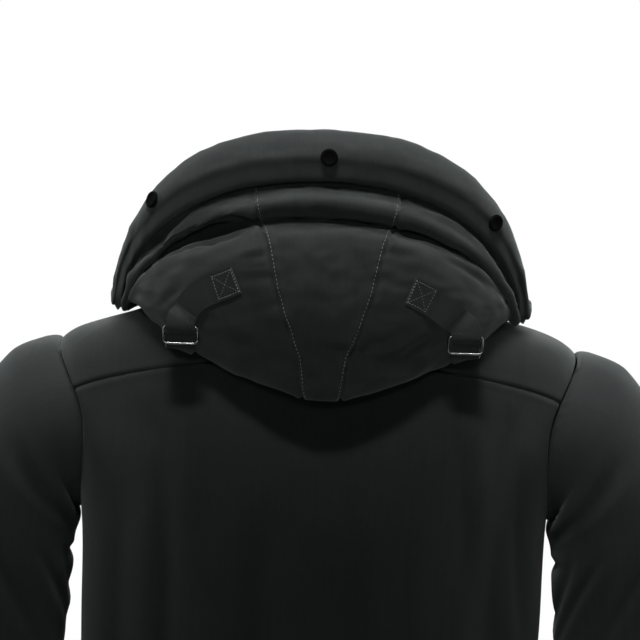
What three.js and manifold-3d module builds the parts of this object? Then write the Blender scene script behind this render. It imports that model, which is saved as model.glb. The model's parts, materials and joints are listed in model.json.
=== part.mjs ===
// A padded winter parka, filled out as if worn, with its hood thrown back on the shoulders.
// Millimetres, +Z up. The front faces -Y and the wearer's left is +X.
// The origin is the middle of the neck, level with the highest points of the shoulders.
import * as THREE from "three";
import { mergeVertices } from "three/addons/utils/BufferGeometryUtils.js";
import Module from "manifold-3d";

const wasm = await Module();
wasm.setup();

const { degToRad, radToDeg, clamp, lerp, smoothstep } = THREE.MathUtils;

// Driving sizes
const WALL = 3; // shell, padding and lining together
const SEAM_GAP = 0.3; // between two pieces at a seam
const ZIP_HALF_GAP = 5; // each front edge stands this far from the centre front
const HAND_LEAN = 0.016; // the hood sits a little higher on the wearer's left
const HAND_SWING = -3.5; // and its middle hangs a little to the right

// The body, as rings from the neck to the hem. side, back and front are reaches from the body's axis, and the
// ring dips from sideZ at the sides to backZ and frontZ. square is the ring's squareness: 2 is an ellipse.
const BODY = [
  { side: 85, back: 74, front: 98, sideZ: 0, backZ: -20, frontZ: -88, square: 2.3 }, // neck
  { side: 160, back: 98, front: 116, sideZ: -33, backZ: -50, frontZ: -118, square: 2.5 },
  { side: 234, back: 116, front: 132, sideZ: -65, backZ: -95, frontZ: -155, square: 3 }, // shoulder point
  { side: 228, back: 127, front: 143, sideZ: -140, backZ: -150, frontZ: -190, square: 3 },
  { side: 212, back: 131, front: 150, sideZ: -218, backZ: -218, frontZ: -232, square: 2.8 }, // underarm
  { side: 209, back: 130, front: 151, sideZ: -320, backZ: -320, frontZ: -325, square: 2.7 },
  { side: 208, back: 129, front: 150, sideZ: -440, backZ: -440, frontZ: -442, square: 2.6 },
  { side: 214, back: 134, front: 154, sideZ: -600, backZ: -600, frontZ: -600, square: 2.6 },
  { side: 226, back: 142, front: 160, sideZ: -770, backZ: -776, frontZ: -766, square: 2.6 }, // hem
];
const SHOULDER_LEVEL = 2;
const UNDERARM_LEVEL = 4;
const HEM_LEVEL = 8;

// Soft vertical folds of the body: where they lie in degrees round from the centre back, how wide and deep
// they are, and the levels between which they show.
const BODY_FOLDS = [
  { turn: -58, width: 9, depth: 5, from: 3.2, to: 7 },
  { turn: -42, width: 8, depth: 3, from: 3, to: 6 },
  { turn: 46, width: 9, depth: 3, from: 3.4, to: 7 },
  { turn: 60, width: 8, depth: 4, from: 4, to: 8.5 },
  { turn: -18, width: 10, depth: 2.5, from: 5, to: 8.5 },
  { turn: 140, width: 10, depth: 4, from: 3.4, to: 7 },
  { turn: -134, width: 11, depth: 4, from: 3.8, to: 8 },
];

// The yoke and the armholes, in degrees round and body levels
const YOKE_LEVEL = { centre: 1.33, armhole: 2.6, softness: 0.15 };
const FRONT_SEAM_LEVEL = 2.2; // where the front edge of the yoke meets the armhole
const ARMHOLE = { turn: 90, level: 3, halfTurn: 20, halfLevel: 1 };

// The left sleeve, as rings from the armhole to the cuff. tilt turns a ring from upright, 0, to lying flat, 90.
const SLEEVE = [
  { x: 231, y: 0, z: -139, tilt: 0, across: 79, depth: 78 },
  { x: 250, y: 0, z: -150, tilt: 25, across: 79, depth: 83 },
  { x: 278, y: -1, z: -208, tilt: 60, across: 69, depth: 82 },
  { x: 284, y: -2, z: -275, tilt: 80, across: 63, depth: 79 },
  { x: 292, y: -5, z: -425, tilt: 84, across: 58, depth: 70 },
  { x: 304, y: -24, z: -565, tilt: 84, across: 54, depth: 62 },
  { x: 315, y: -44, z: -690, tilt: 84, across: 51, depth: 57 },
];
const SLEEVE_FOLDS = [
  { at: 1.6, round: 110, depth: 4, length: 0.28, spread: 70, slant: 0.004 },
  { at: 2.5, round: 200, depth: 5, length: 0.25, spread: 60, slant: -0.004 },
  { at: 3.55, round: 250, depth: 6, length: 0.2, spread: 75, slant: 0.003 },
  { at: 4.0, round: 265, depth: 6, length: 0.2, spread: 80, slant: -0.002 },
  { at: 4.45, round: 235, depth: 5, length: 0.2, spread: 70, slant: 0.003 },
  { at: 5.5, round: 80, depth: 4, length: 0.22, spread: 70, slant: 0.004 },
];

// The hood, as the lines that run round it from the centre back, past the corner where it leaves the shoulder
// blade, to the front edge. Each has its place at the centre back, at the corner and at the front edge, then the
// squareness of the arch that shows from behind, and its least height over the body.
const HOOD = [
  ["stand", 84, 22, 95, 25, 12, -102, -76, 2, 6],
  ["crest", 101, 48, 109, 30, 16, -104, -70, 2, 8],
  ["underTop", 125, 33, 123, 36, 8, -105, -64, 1.9, 6],
  ["underMid", 139, -28, 138, 42, -6, -106, -59, 1.6, 3],
  ["underLow", 148, -86, 152, 48, -20, -107, -55, 1.4, 2],
  ["tip", 170, -113, 164, 53, -30, -108, -51, 1.4, 2],
  ["bagLow", 199, -76, 169, 57, -33, -109, -47, 1.7, 2],
  ["bagBelly", 214, -17, 173, 60, -34, -110, -43, 2, 2],
  ["bagTop", 208, 37.5, 175, 62, -43, -111, -39, 2.05, 3],
  ["deepCrease", 178, 45, 176, 61, -44, -111, -36, 2.05, 4],
  ["secondRoll", 204, 60, 177.5, 60, -46, -112, -33, 2, 6],
  ["brimCrease", 180, 77, 179.5, 57, -44, -112, -30, 2.15, 9],
  ["brimBelly", 202, 100, 189, 50, -60, -119, -16, 2.4, 15],
  ["brimTop", 184, 124.5, 191, 40, -72, -115, 6, 2.5, 28],
  ["brimEdge", 156, 111, 176, 30, -66, -104, 3, 2.45, 26],
].map(([name, backY, backZ, cornerX, cornerY, cornerZ, frontY, frontZ, square, rest]) => ({
  name, backY, backZ, cornerX, cornerY, cornerZ, frontY, frontZ, square, rest,
}));
const REST_SOFTNESS = 4; // rounds the hood's bends where it comes to rest on the shoulders
const HOOD_CORNER = 0.42; // the corner's share of the way from the centre back to the front edge
const HOOD_SOFTEN = 0.07; // rounds the lines at the corner
const station = (name) => 1 + HOOD.findIndex((line) => line.name === name);

// Half the width of the hood's centre panel where each line crosses its seams
const PANEL_HALF_WIDTH = [
  { at: 0, half: 26 },
  { at: station("underLow"), half: 18 },
  { at: station("tip"), half: 16.5 },
  { at: station("bagLow"), half: 24 },
  { at: station("bagBelly"), half: 43 },
  { at: station("bagTop"), half: 55 },
  { at: station("brimCrease"), half: 65 },
];

// How finely each piece is divided
const BACK_COLUMNS = 20;
const YOKE_SIDE_COLUMNS = 5;
const FRONT_COLUMNS = 9;
const YOKE_ROWS = 6;
const ARMHOLE_ROWS = 7;
const LOWER_ROWS = 8;
const SLEEVE_ROWS = 17;
const SLEEVE_EASING = 1.15; // brings the rows closer together at the armhole
const HOOD_PANEL_COLUMNS = 6;
const HOOD_SIDE_COLUMNS = 17;
const HOOD_STEPS = 2; // rows between two lines of the hood
const BRIM_STEPS = 3;

// Small parts
const WEBBING = {
  width: 25,
  thickness: 1.8,
  lift: 0.4,
  overRing: [{ share: 1.15, clear: 1.2 }, { share: 0.7, clear: 1.8 }], // how high up, how far outside its upper bar
  behindBar: [ // the same for its lower bar, and how far the webbing leans there
    { share: 0.42, clear: -2.4, lean: 0 },
    { share: 0.11, clear: 0, lean: 0 },
    { share: -0.2, clear: 2.8, lean: -55 },
  ],
  slack: 5, // how far it hangs under the hood on its way back
};
const SNAP = { radius: 7.5, height: 3, dish: 1.2, lift: 0.3 };
const RING = { width: 32, height: 18, wire: 1.3, corner: 4 };
const ZIP = { tapeWidth: 13, tapeThickness: 1.2, tapeDepth: 4.1, top: station("brimTop") - 0.35, split: 0.3 };
const SLIDER = { width: 8, height: 12, back: 3.6, front: 0.8, at: station("brimBelly") };
const EAR = { width: 1.2, inside: 2, reach: 4.8, halfHeight: 1.6 };
const PIN = { radius: 0.8, out: 3.3, up: 2.5 };
const PULL = { width: 6, length: 32, thickness: 1.4, neckWidth: 3.4, neckLength: 4.5, eye: 2, hole: 1.15 };

// A value of a table at a fractional row, on a smooth curve through the rows
function between(rows, column, at) {
  const i = clamp(Math.floor(at), 0, rows.length - 2);
  const f = at - i;
  const value = (k) => rows[clamp(k, 0, rows.length - 1)][column];
  const [a, b, c, d] = [value(i - 1), value(i), value(i + 1), value(i + 2)];
  return b + 0.5 * f * (c - a + f * (2 * a - 5 * b + 4 * c - d + f * (3 * (b - c) + d - a)));
}

// A bump that is 1 in the middle and falls smoothly to 0 at plus and minus 1
function bump(x) {
  return Math.abs(x) < 1 ? Math.cos((x * Math.PI) / 2) ** 2 : 0;
}

function bodyFold(turn, level) {
  let depth = 0;
  for (const fold of BODY_FOLDS) {
    const along = bump((2 * level - fold.from - fold.to) / (fold.to - fold.from));
    depth += fold.depth * along * bump((turn - fold.turn) / fold.width);
  }
  return depth;
}

// A point of the body's outer face, turn degrees round from the centre back towards the wearer's left
function bodyPoint(turn, level) {
  const [sine, cosine] = [Math.sin(degToRad(turn)), Math.cos(degToRad(turn))];
  const faces = cosine > 0 ? "back" : "front";
  const square = between(BODY, "square", level);
  const acrossShare = (Math.abs(sine) / between(BODY, "side", level)) ** square;
  const deepShare = (Math.abs(cosine) / between(BODY, faces, level)) ** square;
  const reach = (acrossShare + deepShare) ** (-1 / square) - bodyFold(turn, level);
  const z = lerp(between(BODY, faces + "Z", level), between(BODY, "sideZ", level), sine * sine);
  return new THREE.Vector3(reach * sine, reach * cosine, z);
}

// The outward normal of a surface at (a, b), where a runs across it and b down it
function normalOf(surface, a, b, stepA, stepB) {
  const across = surface(a + stepA, b).sub(surface(a - stepA, b));
  const down = surface(a, b + stepB).sub(surface(a, b - stepB));
  return across.cross(down).normalize();
}

const bodyNormal = (turn, level) => normalOf(bodyPoint, turn, Math.max(level, 0.01), 0.2, 0.01);

// The body's surface moved out by lift, or in where lift is below 0
function bodyOffset(turn, level, lift) {
  return bodyPoint(turn, level).addScaledVector(bodyNormal(turn, level), lift);
}

// How far round the armhole's edge lies from the armhole's middle, at a level
function armholeHalfTurn(level) {
  const up = (level - ARMHOLE.level) / ARMHOLE.halfLevel;
  return ARMHOLE.halfTurn * Math.sqrt(Math.max(0, 1 - up * up));
}

// The level of the armhole's upper edge, at so many degrees round
function armholeTop(turn) {
  const along = clamp((turn - ARMHOLE.turn) / ARMHOLE.halfTurn, -1, 1);
  return ARMHOLE.level - ARMHOLE.halfLevel * Math.sqrt(1 - along * along);
}

const YOKE_CORNER_TURN = ARMHOLE.turn - armholeHalfTurn(YOKE_LEVEL.armhole);
const FRONT_SEAM_TURN = ARMHOLE.turn + armholeHalfTurn(FRONT_SEAM_LEVEL);

// The level of the yoke's lower seam on the back; share is 0 at the centre back and 1 at the armhole
function yokeSeamLevel(share) {
  const soft = YOKE_LEVEL.softness;
  const rise = (Math.hypot(share, soft) - soft) / (Math.hypot(1, soft) - soft);
  return lerp(YOKE_LEVEL.centre, YOKE_LEVEL.armhole, rise);
}

const range = (count) => Array.from({ length: count + 1 }, (_, i) => i / count);

// Levels of the rows that the back, the fronts and the sleeves share along their seams
function armholeLevels(top) {
  return range(ARMHOLE_ROWS).map((share) => {
    const start = Math.acos((ARMHOLE.level - top) / ARMHOLE.halfLevel);
    const round = ARMHOLE.level - ARMHOLE.halfLevel * Math.cos(lerp(start, Math.PI, share));
    return lerp(lerp(top, UNDERARM_LEVEL, share), round, 0.5);
  });
}
const LOWER_LEVELS = range(LOWER_ROWS).slice(1).map((share) => lerp(UNDERARM_LEVEL, HEM_LEVEL, share));
const BACK_EDGE_LEVELS = [...armholeLevels(YOKE_LEVEL.armhole), ...LOWER_LEVELS];
const FRONT_EDGE_LEVELS = [
  ...range(YOKE_ROWS).slice(0, -1).map((share) => share * FRONT_SEAM_LEVEL),
  ...armholeLevels(FRONT_SEAM_LEVEL),
  ...LOWER_LEVELS,
];

// Joins two grids of points, an outer and an inner one, into one closed wall. A loop closes on itself sideways.
function wallGeometry(outer, inner, { flip = false, loop = false } = {}) {
  const [rows, columns] = [outer.length, outer[0].length];
  const positions = [...outer.flat(), ...inner.flat()].flatMap((p) => [p.x, p.y, p.z]);
  const faces = [];
  const quad = (a, b, c, d) => faces.push(...(flip ? [a, c, b, a, d, c] : [a, b, c, a, c, d]));
  const out = (i, j) => i * columns + (j % columns);
  const back = (i, j) => rows * columns + out(i, j);
  const lastColumn = loop ? columns : columns - 1;
  for (let i = 0; i < rows - 1; i++) {
    for (let j = 0; j < lastColumn; j++) {
      quad(out(i, j), out(i, j + 1), out(i + 1, j + 1), out(i + 1, j));
      quad(back(i, j), back(i + 1, j), back(i + 1, j + 1), back(i, j + 1));
    }
  }
  for (let j = 0; j < lastColumn; j++) {
    quad(out(0, j), back(0, j), back(0, j + 1), out(0, j + 1));
    quad(out(rows - 1, j), out(rows - 1, j + 1), back(rows - 1, j + 1), back(rows - 1, j));
  }
  for (let i = 0; i < rows - 1 && !loop; i++) {
    quad(out(i, 0), out(i + 1, 0), back(i + 1, 0), back(i, 0));
    quad(out(i, columns - 1), back(i, columns - 1), back(i + 1, columns - 1), out(i + 1, columns - 1));
  }
  const geometry = new THREE.BufferGeometry();
  geometry.setAttribute("position", new THREE.Float32BufferAttribute(positions, 3));
  geometry.setIndex(faces);
  geometry.computeVertexNormals();
  return geometry;
}

// Draws the named edges of a grid in by half the seam gap, so that neighbours stand a whole gap apart
function trim(grid, edges) {
  const half = SEAM_GAP / 2;
  const pull = (row, j, towards) => {
    const way = towards.clone().sub(row[j]);
    row[j] = row[j].clone().addScaledVector(way, half / way.length());
  };
  const columns = grid[0].length;
  for (const row of grid) {
    if (edges.includes("first")) pull(row, 0, row[1]);
    if (edges.includes("last")) pull(row, columns - 1, row[columns - 2]);
  }
  for (let j = 0; j < columns; j++) {
    if (edges.includes("top")) pull(grid[0], j, grid[1][j]);
    if (edges.includes("bottom")) pull(grid.at(-1), j, grid.at(-2)[j]);
  }
  return grid;
}

// A wall on a surface, from a grid of its parameters
function panel(parameters, offset, edges, options) {
  const layer = (lift) => trim(parameters.map((row) => row.map(([a, b]) => offset(a, b, lift))), edges);
  return wallGeometry(layer(0), layer(-WALL), options);
}

// Where the edge of the body panels lies at a level: at the armhole, or at the side seam under it
function edgeHalfTurn(level) {
  return level < UNDERARM_LEVEL ? armholeHalfTurn(level) : 0;
}

// A column's place round the body. Only the columns next to the armhole follow its curve; the others fan out
// evenly from the top of the panel to the underarm.
function columnTurn(share, level, top, edgeTurn) {
  const fan = smoothstep(level, top.level, UNDERARM_LEVEL);
  const evenTurn = lerp(top.turn, ARMHOLE.turn, fan);
  return share * lerp(evenTurn, edgeTurn, Math.abs(share) ** 5);
}

function backGeometry() {
  const shares = range(BACK_COLUMNS).map((share) => 2 * share - 1);
  const top = { level: BACK_EDGE_LEVELS[0], turn: YOKE_CORNER_TURN };
  const parameters = BACK_EDGE_LEVELS.map((edgeLevel) => {
    const down = (edgeLevel - top.level) / (HEM_LEVEL - top.level);
    const edgeTurn = ARMHOLE.turn - edgeHalfTurn(edgeLevel);
    return shares.map((share) => [
      columnTurn(share, edgeLevel, top, edgeTurn),
      lerp(yokeSeamLevel(Math.abs(share)), HEM_LEVEL, down),
    ]);
  });
  return panel(parameters, bodyOffset, ["first", "last", "top"]);
}

function yokeGeometry() {
  const backShares = range(BACK_COLUMNS).map((share) => 2 * share - 1);
  const overShoulder = range(YOKE_SIDE_COLUMNS).slice(1)
    .map((share) => lerp(YOKE_CORNER_TURN, FRONT_SEAM_TURN, share));
  const columns = [
    ...overShoulder.toReversed().map((turn) => [-turn, armholeTop(turn)]),
    ...backShares.map((share) => [share * YOKE_CORNER_TURN, yokeSeamLevel(Math.abs(share))]),
    ...overShoulder.map((turn) => [turn, armholeTop(turn)]),
  ];
  const parameters = range(YOKE_ROWS).map((share) => columns.map(([turn, level]) => [turn, share * level]));
  return panel(parameters, bodyOffset, ["first", "last", "bottom"]);
}

// side is 1 for the wearer's left and -1 for the right
function frontGeometry(side) {
  const top = { level: FRONT_SEAM_LEVEL, turn: 180 - FRONT_SEAM_TURN };
  const parameters = FRONT_EDGE_LEVELS.map((level) => {
    const edgeTurn = level < FRONT_SEAM_LEVEL ? top.turn : ARMHOLE.turn - edgeHalfTurn(level);
    const innerTurn = radToDeg(Math.asin(ZIP_HALF_GAP / between(BODY, "front", level)));
    return range(FRONT_COLUMNS).map((share) => {
      const outward = columnTurn(1 - share, level, top, edgeTurn) + share * innerTurn;
      return [side * (180 - outward), level];
    });
  });
  return panel(parameters, bodyOffset, ["first"], { flip: side < 0 });
}

// The corners of the left armhole in the order of the sleeve's columns: top, back, underarm, front
function armholeCorners() {
  const overShoulder = range(YOKE_SIDE_COLUMNS).map((share) => lerp(YOKE_CORNER_TURN, FRONT_SEAM_TURN, share));
  const back = armholeLevels(YOKE_LEVEL.armhole).slice(1, -1);
  const front = armholeLevels(FRONT_SEAM_LEVEL).slice(1);
  return [
    ...overShoulder.toReversed().map((turn) => [turn, armholeTop(turn)]),
    ...back.map((level) => [ARMHOLE.turn - armholeHalfTurn(level), level]),
    ...front.toReversed().map((level) => [ARMHOLE.turn + armholeHalfTurn(level), level]),
  ];
}

function sleeveFold(round, at) {
  let depth = 0;
  for (const fold of SLEEVE_FOLDS) {
    const away = ((round - fold.round + 540) % 360) - 180;
    const along = at - fold.at - fold.slant * away;
    depth += fold.depth * bump(along / fold.length) * bump(away / fold.spread);
  }
  return depth;
}

// A point of the left sleeve's outer face: round is in degrees from the outer line towards the back
function sleeveForm(round, at) {
  const value = (column) => between(SLEEVE, column, at);
  const tilt = degToRad(value("tilt"));
  const out = (value("across") - sleeveFold(round, at)) * Math.cos(degToRad(round));
  const deep = (value("depth") - sleeveFold(round, at)) * Math.sin(degToRad(round));
  const [x, z] = [value("x") + out * Math.sin(tilt), value("z") + out * Math.cos(tilt)];
  return new THREE.Vector3(x, value("y") + deep, z);
}

function sleeveGeometry(side) {
  const corners = armholeCorners().map(([turn, level]) => bodyPoint(turn, level));
  const [middleY, middleZ] = [SLEEVE[0].y, SLEEVE[0].z];
  const rounds = corners.map((p) => (radToDeg(Math.atan2(p.y - middleY, p.z - middleZ)) + 360) % 360);
  const even = rounds.map((_, j) => {
    const first = rounds[0] > 180 ? rounds[0] - 360 : rounds[0];
    return (first + (360 * j) / rounds.length + 360) % 360;
  });
  const surface = (j, at) => {
    const drift = ((even[j] - rounds[j] + 540) % 360) - 180;
    const round = rounds[j] + drift * smoothstep(at, 1, 3);
    return sleeveForm(round, at).lerp(corners[j], 1 - smoothstep(at, 0, 1));
  };
  const rows = range(SLEEVE_ROWS).map((share) => (SLEEVE.length - 1) * share ** SLEEVE_EASING);
  const count = corners.length;
  const outer = rows.map((at) => corners.map((_, j) => surface(j, at)));
  outer[0] = outer[0].map((p, j) => outer[1][j].clone().sub(p).setLength(SEAM_GAP).add(p));
  const inner = outer.map((row, i) =>
    row.map((p, j) => {
      const [before, after] = [outer[Math.max(i - 1, 0)][j], outer[Math.min(i + 1, rows.length - 1)][j]];
      const along = after.clone().sub(before);
      const round = row[(j + 1) % count].clone().sub(row[(j + count - 1) % count]);
      const inward = round.cross(along).normalize();
      return p.clone().addScaledVector(inward, WALL);
    }),
  );
  const mirror = (grid) => grid.map((row) => row.map((p) => new THREE.Vector3(side * p.x, p.y, p.z)));
  return wallGeometry(mirror(outer), mirror(inner), { flip: side > 0, loop: true });
}

// How high the body stands at a place in plan, below its neck
function bodyHeight(x, y) {
  const turn = radToDeg(Math.atan2(x, y));
  const reach = Math.hypot(x, y);
  let [low, high] = [0, UNDERARM_LEVEL];
  for (let k = 0; k < 16; k++) {
    const middle = (low + high) / 2;
    const p = bodyPoint(turn, middle);
    if (Math.hypot(p.x, p.y) < reach) low = middle;
    else high = middle;
  }
  return bodyPoint(turn, low).z;
}

// The larger of two values, rounded where they cross
function softMax(a, b, softness) {
  return (a + b + Math.hypot(a - b, softness)) / 2;
}

// A point of the neck seam, so far down from the body's top edge and so far above the body
function neckPoint(turn, distance, lift) {
  const probe = 0.1;
  const level = (probe * distance) / bodyPoint(turn, probe).distanceTo(bodyPoint(turn, 0));
  return bodyOffset(turn, level, lift);
}

// A line of the hood, from -1 at the right front edge, through 0 at the centre back, to 1 at the left
function hoodLine(line, round) {
  const share = Math.min(Math.abs(round), 1);
  const side = round < 0 ? -1 : 1;
  if (share < HOOD_CORNER) {
    const angle = ((share / HOOD_CORNER) * Math.PI) / 2;
    const rise = Math.cos(angle) ** (2 / line.square);
    return new THREE.Vector3(
      side * line.cornerX * Math.sin(angle) ** (2 / line.square),
      lerp(line.cornerY, line.backY, Math.cos(angle)),
      lerp(line.cornerZ, line.backZ, rise),
    );
  }
  const angle = (((share - HOOD_CORNER) / (1 - HOOD_CORNER)) * Math.PI) / 2;
  return new THREE.Vector3(
    side * lerp(ZIP_HALF_GAP, line.cornerX, Math.cos(angle)),
    lerp(line.cornerY, line.frontY, Math.sin(angle)),
    lerp(line.frontZ, line.cornerZ, Math.cos(angle)),
  );
}

// The same line with its corner rounded off
function softLine(line, round) {
  const step = Math.min(HOOD_SOFTEN, 1 - Math.abs(round));
  const sum = new THREE.Vector3();
  for (const [share, weight] of [[-2, 1], [-1, 4], [0, 6], [1, 4], [2, 1]]) {
    sum.addScaledVector(hoodLine(line, round + (share * step) / 2), weight / 16);
  }
  return sum;
}

const NECK_END_TURN = 180 - radToDeg(Math.asin(ZIP_HALF_GAP / BODY[0].front));
const SEAT = { outer: 4.2, inner: 1.2, lift: 1.1 };
const profiles = new Map();

// The hood's section at round: its points from the neck seam to the brim's edge, and their spacing
function hoodProfile(round) {
  if (profiles.has(round)) return profiles.get(round);
  const points = [neckPoint(round * NECK_END_TURN, SEAT.outer, SEAT.lift)];
  HOOD.forEach((line, i) => {
    const p = softLine(line, round);
    p.z += HAND_LEAN * p.x * smoothstep(i, 0, 5);
    p.x += HAND_SWING * bump(round / HOOD_CORNER) * smoothstep(i, 0, 5);
    p.z = softMax(p.z, bodyHeight(p.x, p.y) + line.rest, REST_SOFTNESS);
    points.push(p);
  });
  const steps = points.slice(1).map((p, i) => Math.sqrt(p.distanceTo(points[i])));
  const profile = { points, steps };
  profiles.set(round, profile);
  return profile;
}

// A point of the hood's outer face; at counts the lines from 0 at the neck seam
function hoodPoint(round, at) {
  const { points, steps } = hoodProfile(round);
  const i = clamp(Math.floor(at), 0, steps.length - 1);
  const f = at - i;
  const slope = (k) => {
    if (k === 0) return points[1].clone().sub(points[0]).divideScalar(steps[0]);
    if (k === steps.length) return points[k].clone().sub(points[k - 1]).divideScalar(steps[k - 1]);
    const before = points[k].clone().sub(points[k - 1]).multiplyScalar(steps[k] / steps[k - 1]);
    const after = points[k + 1].clone().sub(points[k]).multiplyScalar(steps[k - 1] / steps[k]);
    return before.add(after).divideScalar(steps[k] + steps[k - 1]);
  };
  const [f2, f3] = [f * f, f * f * f];
  return points[i].clone().multiplyScalar(2 * f3 - 3 * f2 + 1)
    .addScaledVector(slope(i), (f3 - 2 * f2 + f) * steps[i])
    .addScaledVector(points[i + 1], 3 * f2 - 2 * f3)
    .addScaledVector(slope(i + 1), (f3 - f2) * steps[i]);
}

function hoodNormal(round, at) {
  const last = HOOD.length;
  const flat = (a, b) => hoodPoint(a, clamp(b, 0, last));
  return normalOf(flat, clamp(round, -0.998, 0.998), at, 0.002, 0.02).negate();
}

function hoodOffset(round, at, lift) {
  if (at === 0 && lift < 0) return neckPoint(round * NECK_END_TURN, SEAT.inner, SEAT.lift);
  return hoodPoint(round, at).addScaledVector(hoodNormal(round, at), lift);
}

// How far round the hood's centre panel reaches at a station, where it has the width of the table
function panelRound(at) {
  const k = PANEL_HALF_WIDTH.findLastIndex((row) => row.at <= at);
  const [row, next] = [PANEL_HALF_WIDTH[k], PANEL_HALF_WIDTH[k + 1] ?? PANEL_HALF_WIDTH[k]];
  const share = next === row ? 0 : (at - row.at) / (next.at - row.at);
  const half = lerp(row.half, next.half, share);
  let [low, high] = [0, HOOD_CORNER];
  for (let k = 0; k < 30; k++) {
    const middle = (low + high) / 2;
    if (hoodPoint(middle, at).x - hoodPoint(-middle, at).x < 2 * half) low = middle;
    else high = middle;
  }
  return (low + high) / 2;
}

const HOOD_ROWS = range(station("brimCrease") * HOOD_STEPS).map((share) => share * station("brimCrease"));
const BRIM_ROWS = range((HOOD.length - station("brimCrease")) * BRIM_STEPS)
  .map((share) => lerp(station("brimCrease"), HOOD.length, share));

const panelColumns = (at) => range(HOOD_PANEL_COLUMNS).map((share) => (2 * share - 1) * panelRound(at));
// The columns of the hood's sides stand closer towards the front edge
const sideColumns = (at) =>
  range(HOOD_SIDE_COLUMNS).map((share) => {
    const eased = lerp(share, Math.sin((share * Math.PI) / 2), 0.5);
    return lerp(panelRound(at), 1, eased);
  });

function hoodCentreGeometry() {
  const parameters = HOOD_ROWS.map((at) => panelColumns(at).map((round) => [round, at]));
  return panel(parameters, hoodOffset, ["first", "last", "bottom"], { flip: true });
}

// Its columns run from the right to the left, as the brim's do, so that both split the seam's faces alike
function hoodSideGeometry(side) {
  const parameters = HOOD_ROWS.map((at) => {
    const rounds = sideColumns(at);
    return (side > 0 ? rounds : rounds.toReversed()).map((round) => [side * round, at]);
  });
  return panel(parameters, hoodOffset, [side > 0 ? "first" : "last", "bottom"], { flip: true });
}

function brimGeometry() {
  const seam = station("brimCrease");
  const left = sideColumns(seam).slice(1);
  const columns = [...left.toReversed().map((round) => -round), ...panelColumns(seam), ...left];
  const parameters = BRIM_ROWS.map((at) => columns.map((round) => [round, at]));
  return panel(parameters, hoodOffset, ["top"], { flip: true });
}

// Where to look for a place on the hood that is seen from the back
const ROUND_PER_MM = 0.002;
const BAG = { from: 5.5, to: 9 };
const SEARCH_STEPS = 40;

// Finds the hood's outer face behind the place (x, z)
function hoodBehind(x, z, lift) {
  let [round, at] = [x * ROUND_PER_MM, station("bagBelly")];
  for (let k = 0; k < SEARCH_STEPS; k++) {
    const p = hoodPoint(round, at);
    const byRound = hoodPoint(round + 0.001, at).sub(p).multiplyScalar(1000);
    const byAt = hoodPoint(round, at + 0.01).sub(p).multiplyScalar(100);
    const scale = byRound.x * byAt.z - byRound.z * byAt.x;
    const [dx, dz] = [x - p.x, z - p.z];
    round += clamp((dx * byAt.z - dz * byAt.x) / scale, -0.05, 0.05);
    at = clamp(at + clamp((dz * byRound.x - dx * byRound.z) / scale, -0.3, 0.3), BAG.from, BAG.to);
  }
  return { point: hoodOffset(round, at, lift), normal: hoodNormal(round, at) };
}

// Webbing along a path of points, each with the way that its face looks
function webbingGeometry(path) {
  const half = WEBBING.width / 2;
  const layer = (lift) =>
    path.map(({ point, normal }, i) => {
      const [before, after] = [path[Math.max(i - 1, 0)].point, path[Math.min(i + 1, path.length - 1)].point];
      const across = after.clone().sub(before).cross(normal).normalize();
      const middle = point.clone().addScaledVector(normal, lift);
      return [-half, 0, half].map((reach) => middle.clone().addScaledVector(across, reach));
    });
  return wallGeometry(layer(WEBBING.thickness), layer(0), { flip: false });
}

// The adjusting straps: the places (x, z) where each shows from behind, from its sewn end to the edge of the
// hood, and its ring
const STRAPS = {
  left: {
    shown: [[72, -8], [83, -13], [95, -18], [106, -25], [114, -35]],
    ring: { x: 120.5, y: 170, z: -65 },
    root: { round: 0.25, at: station("tip") + 0.35 },
  },
  right: {
    shown: [[-77, -13], [-88, -18], [-100, -25], [-111, -33], [-118.5, -37]],
    ring: { x: -127, y: 166.5, z: -66.5 },
    root: { round: -0.265, at: station("tip") + 0.35 },
  },
};

// From the sewn end over the hood, down over the ring, round its lower bar and back to the hood's underside
function strapPath({ shown, ring, root }) {
  const turn = RING.wire + 2 * SEAM_GAP;
  const bar = new THREE.Vector3(ring.x, ring.y, ring.z);
  const outward = new THREE.Vector3(0, 1, 0);
  const path = shown.map(([x, z]) => hoodBehind(x, z, WEBBING.lift));
  for (const { share, clear } of WEBBING.overRing) {
    const point = bar.clone().addScaledVector(outward, turn + clear).setZ(ring.z + share * RING.height);
    path.push({ point, normal: outward });
  }
  for (const { share, clear, lean } of WEBBING.behindBar) {
    const point = bar.clone().addScaledVector(outward, -turn - WEBBING.thickness - clear);
    const normal = new THREE.Vector3(0, Math.cos(degToRad(lean)), Math.sin(degToRad(lean)));
    path.push({ point: point.setZ(ring.z + share * RING.height), normal });
  }
  const end = { point: hoodOffset(root.round, root.at, WEBBING.lift), normal: hoodNormal(root.round, root.at) };
  const hanging = path.at(-1).point.clone().lerp(end.point, 0.5).addScaledVector(end.normal, WEBBING.slack);
  path.push({ point: hanging, normal: path.at(-1).normal.clone().add(end.normal).normalize() }, end);
  return path;
}

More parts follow.
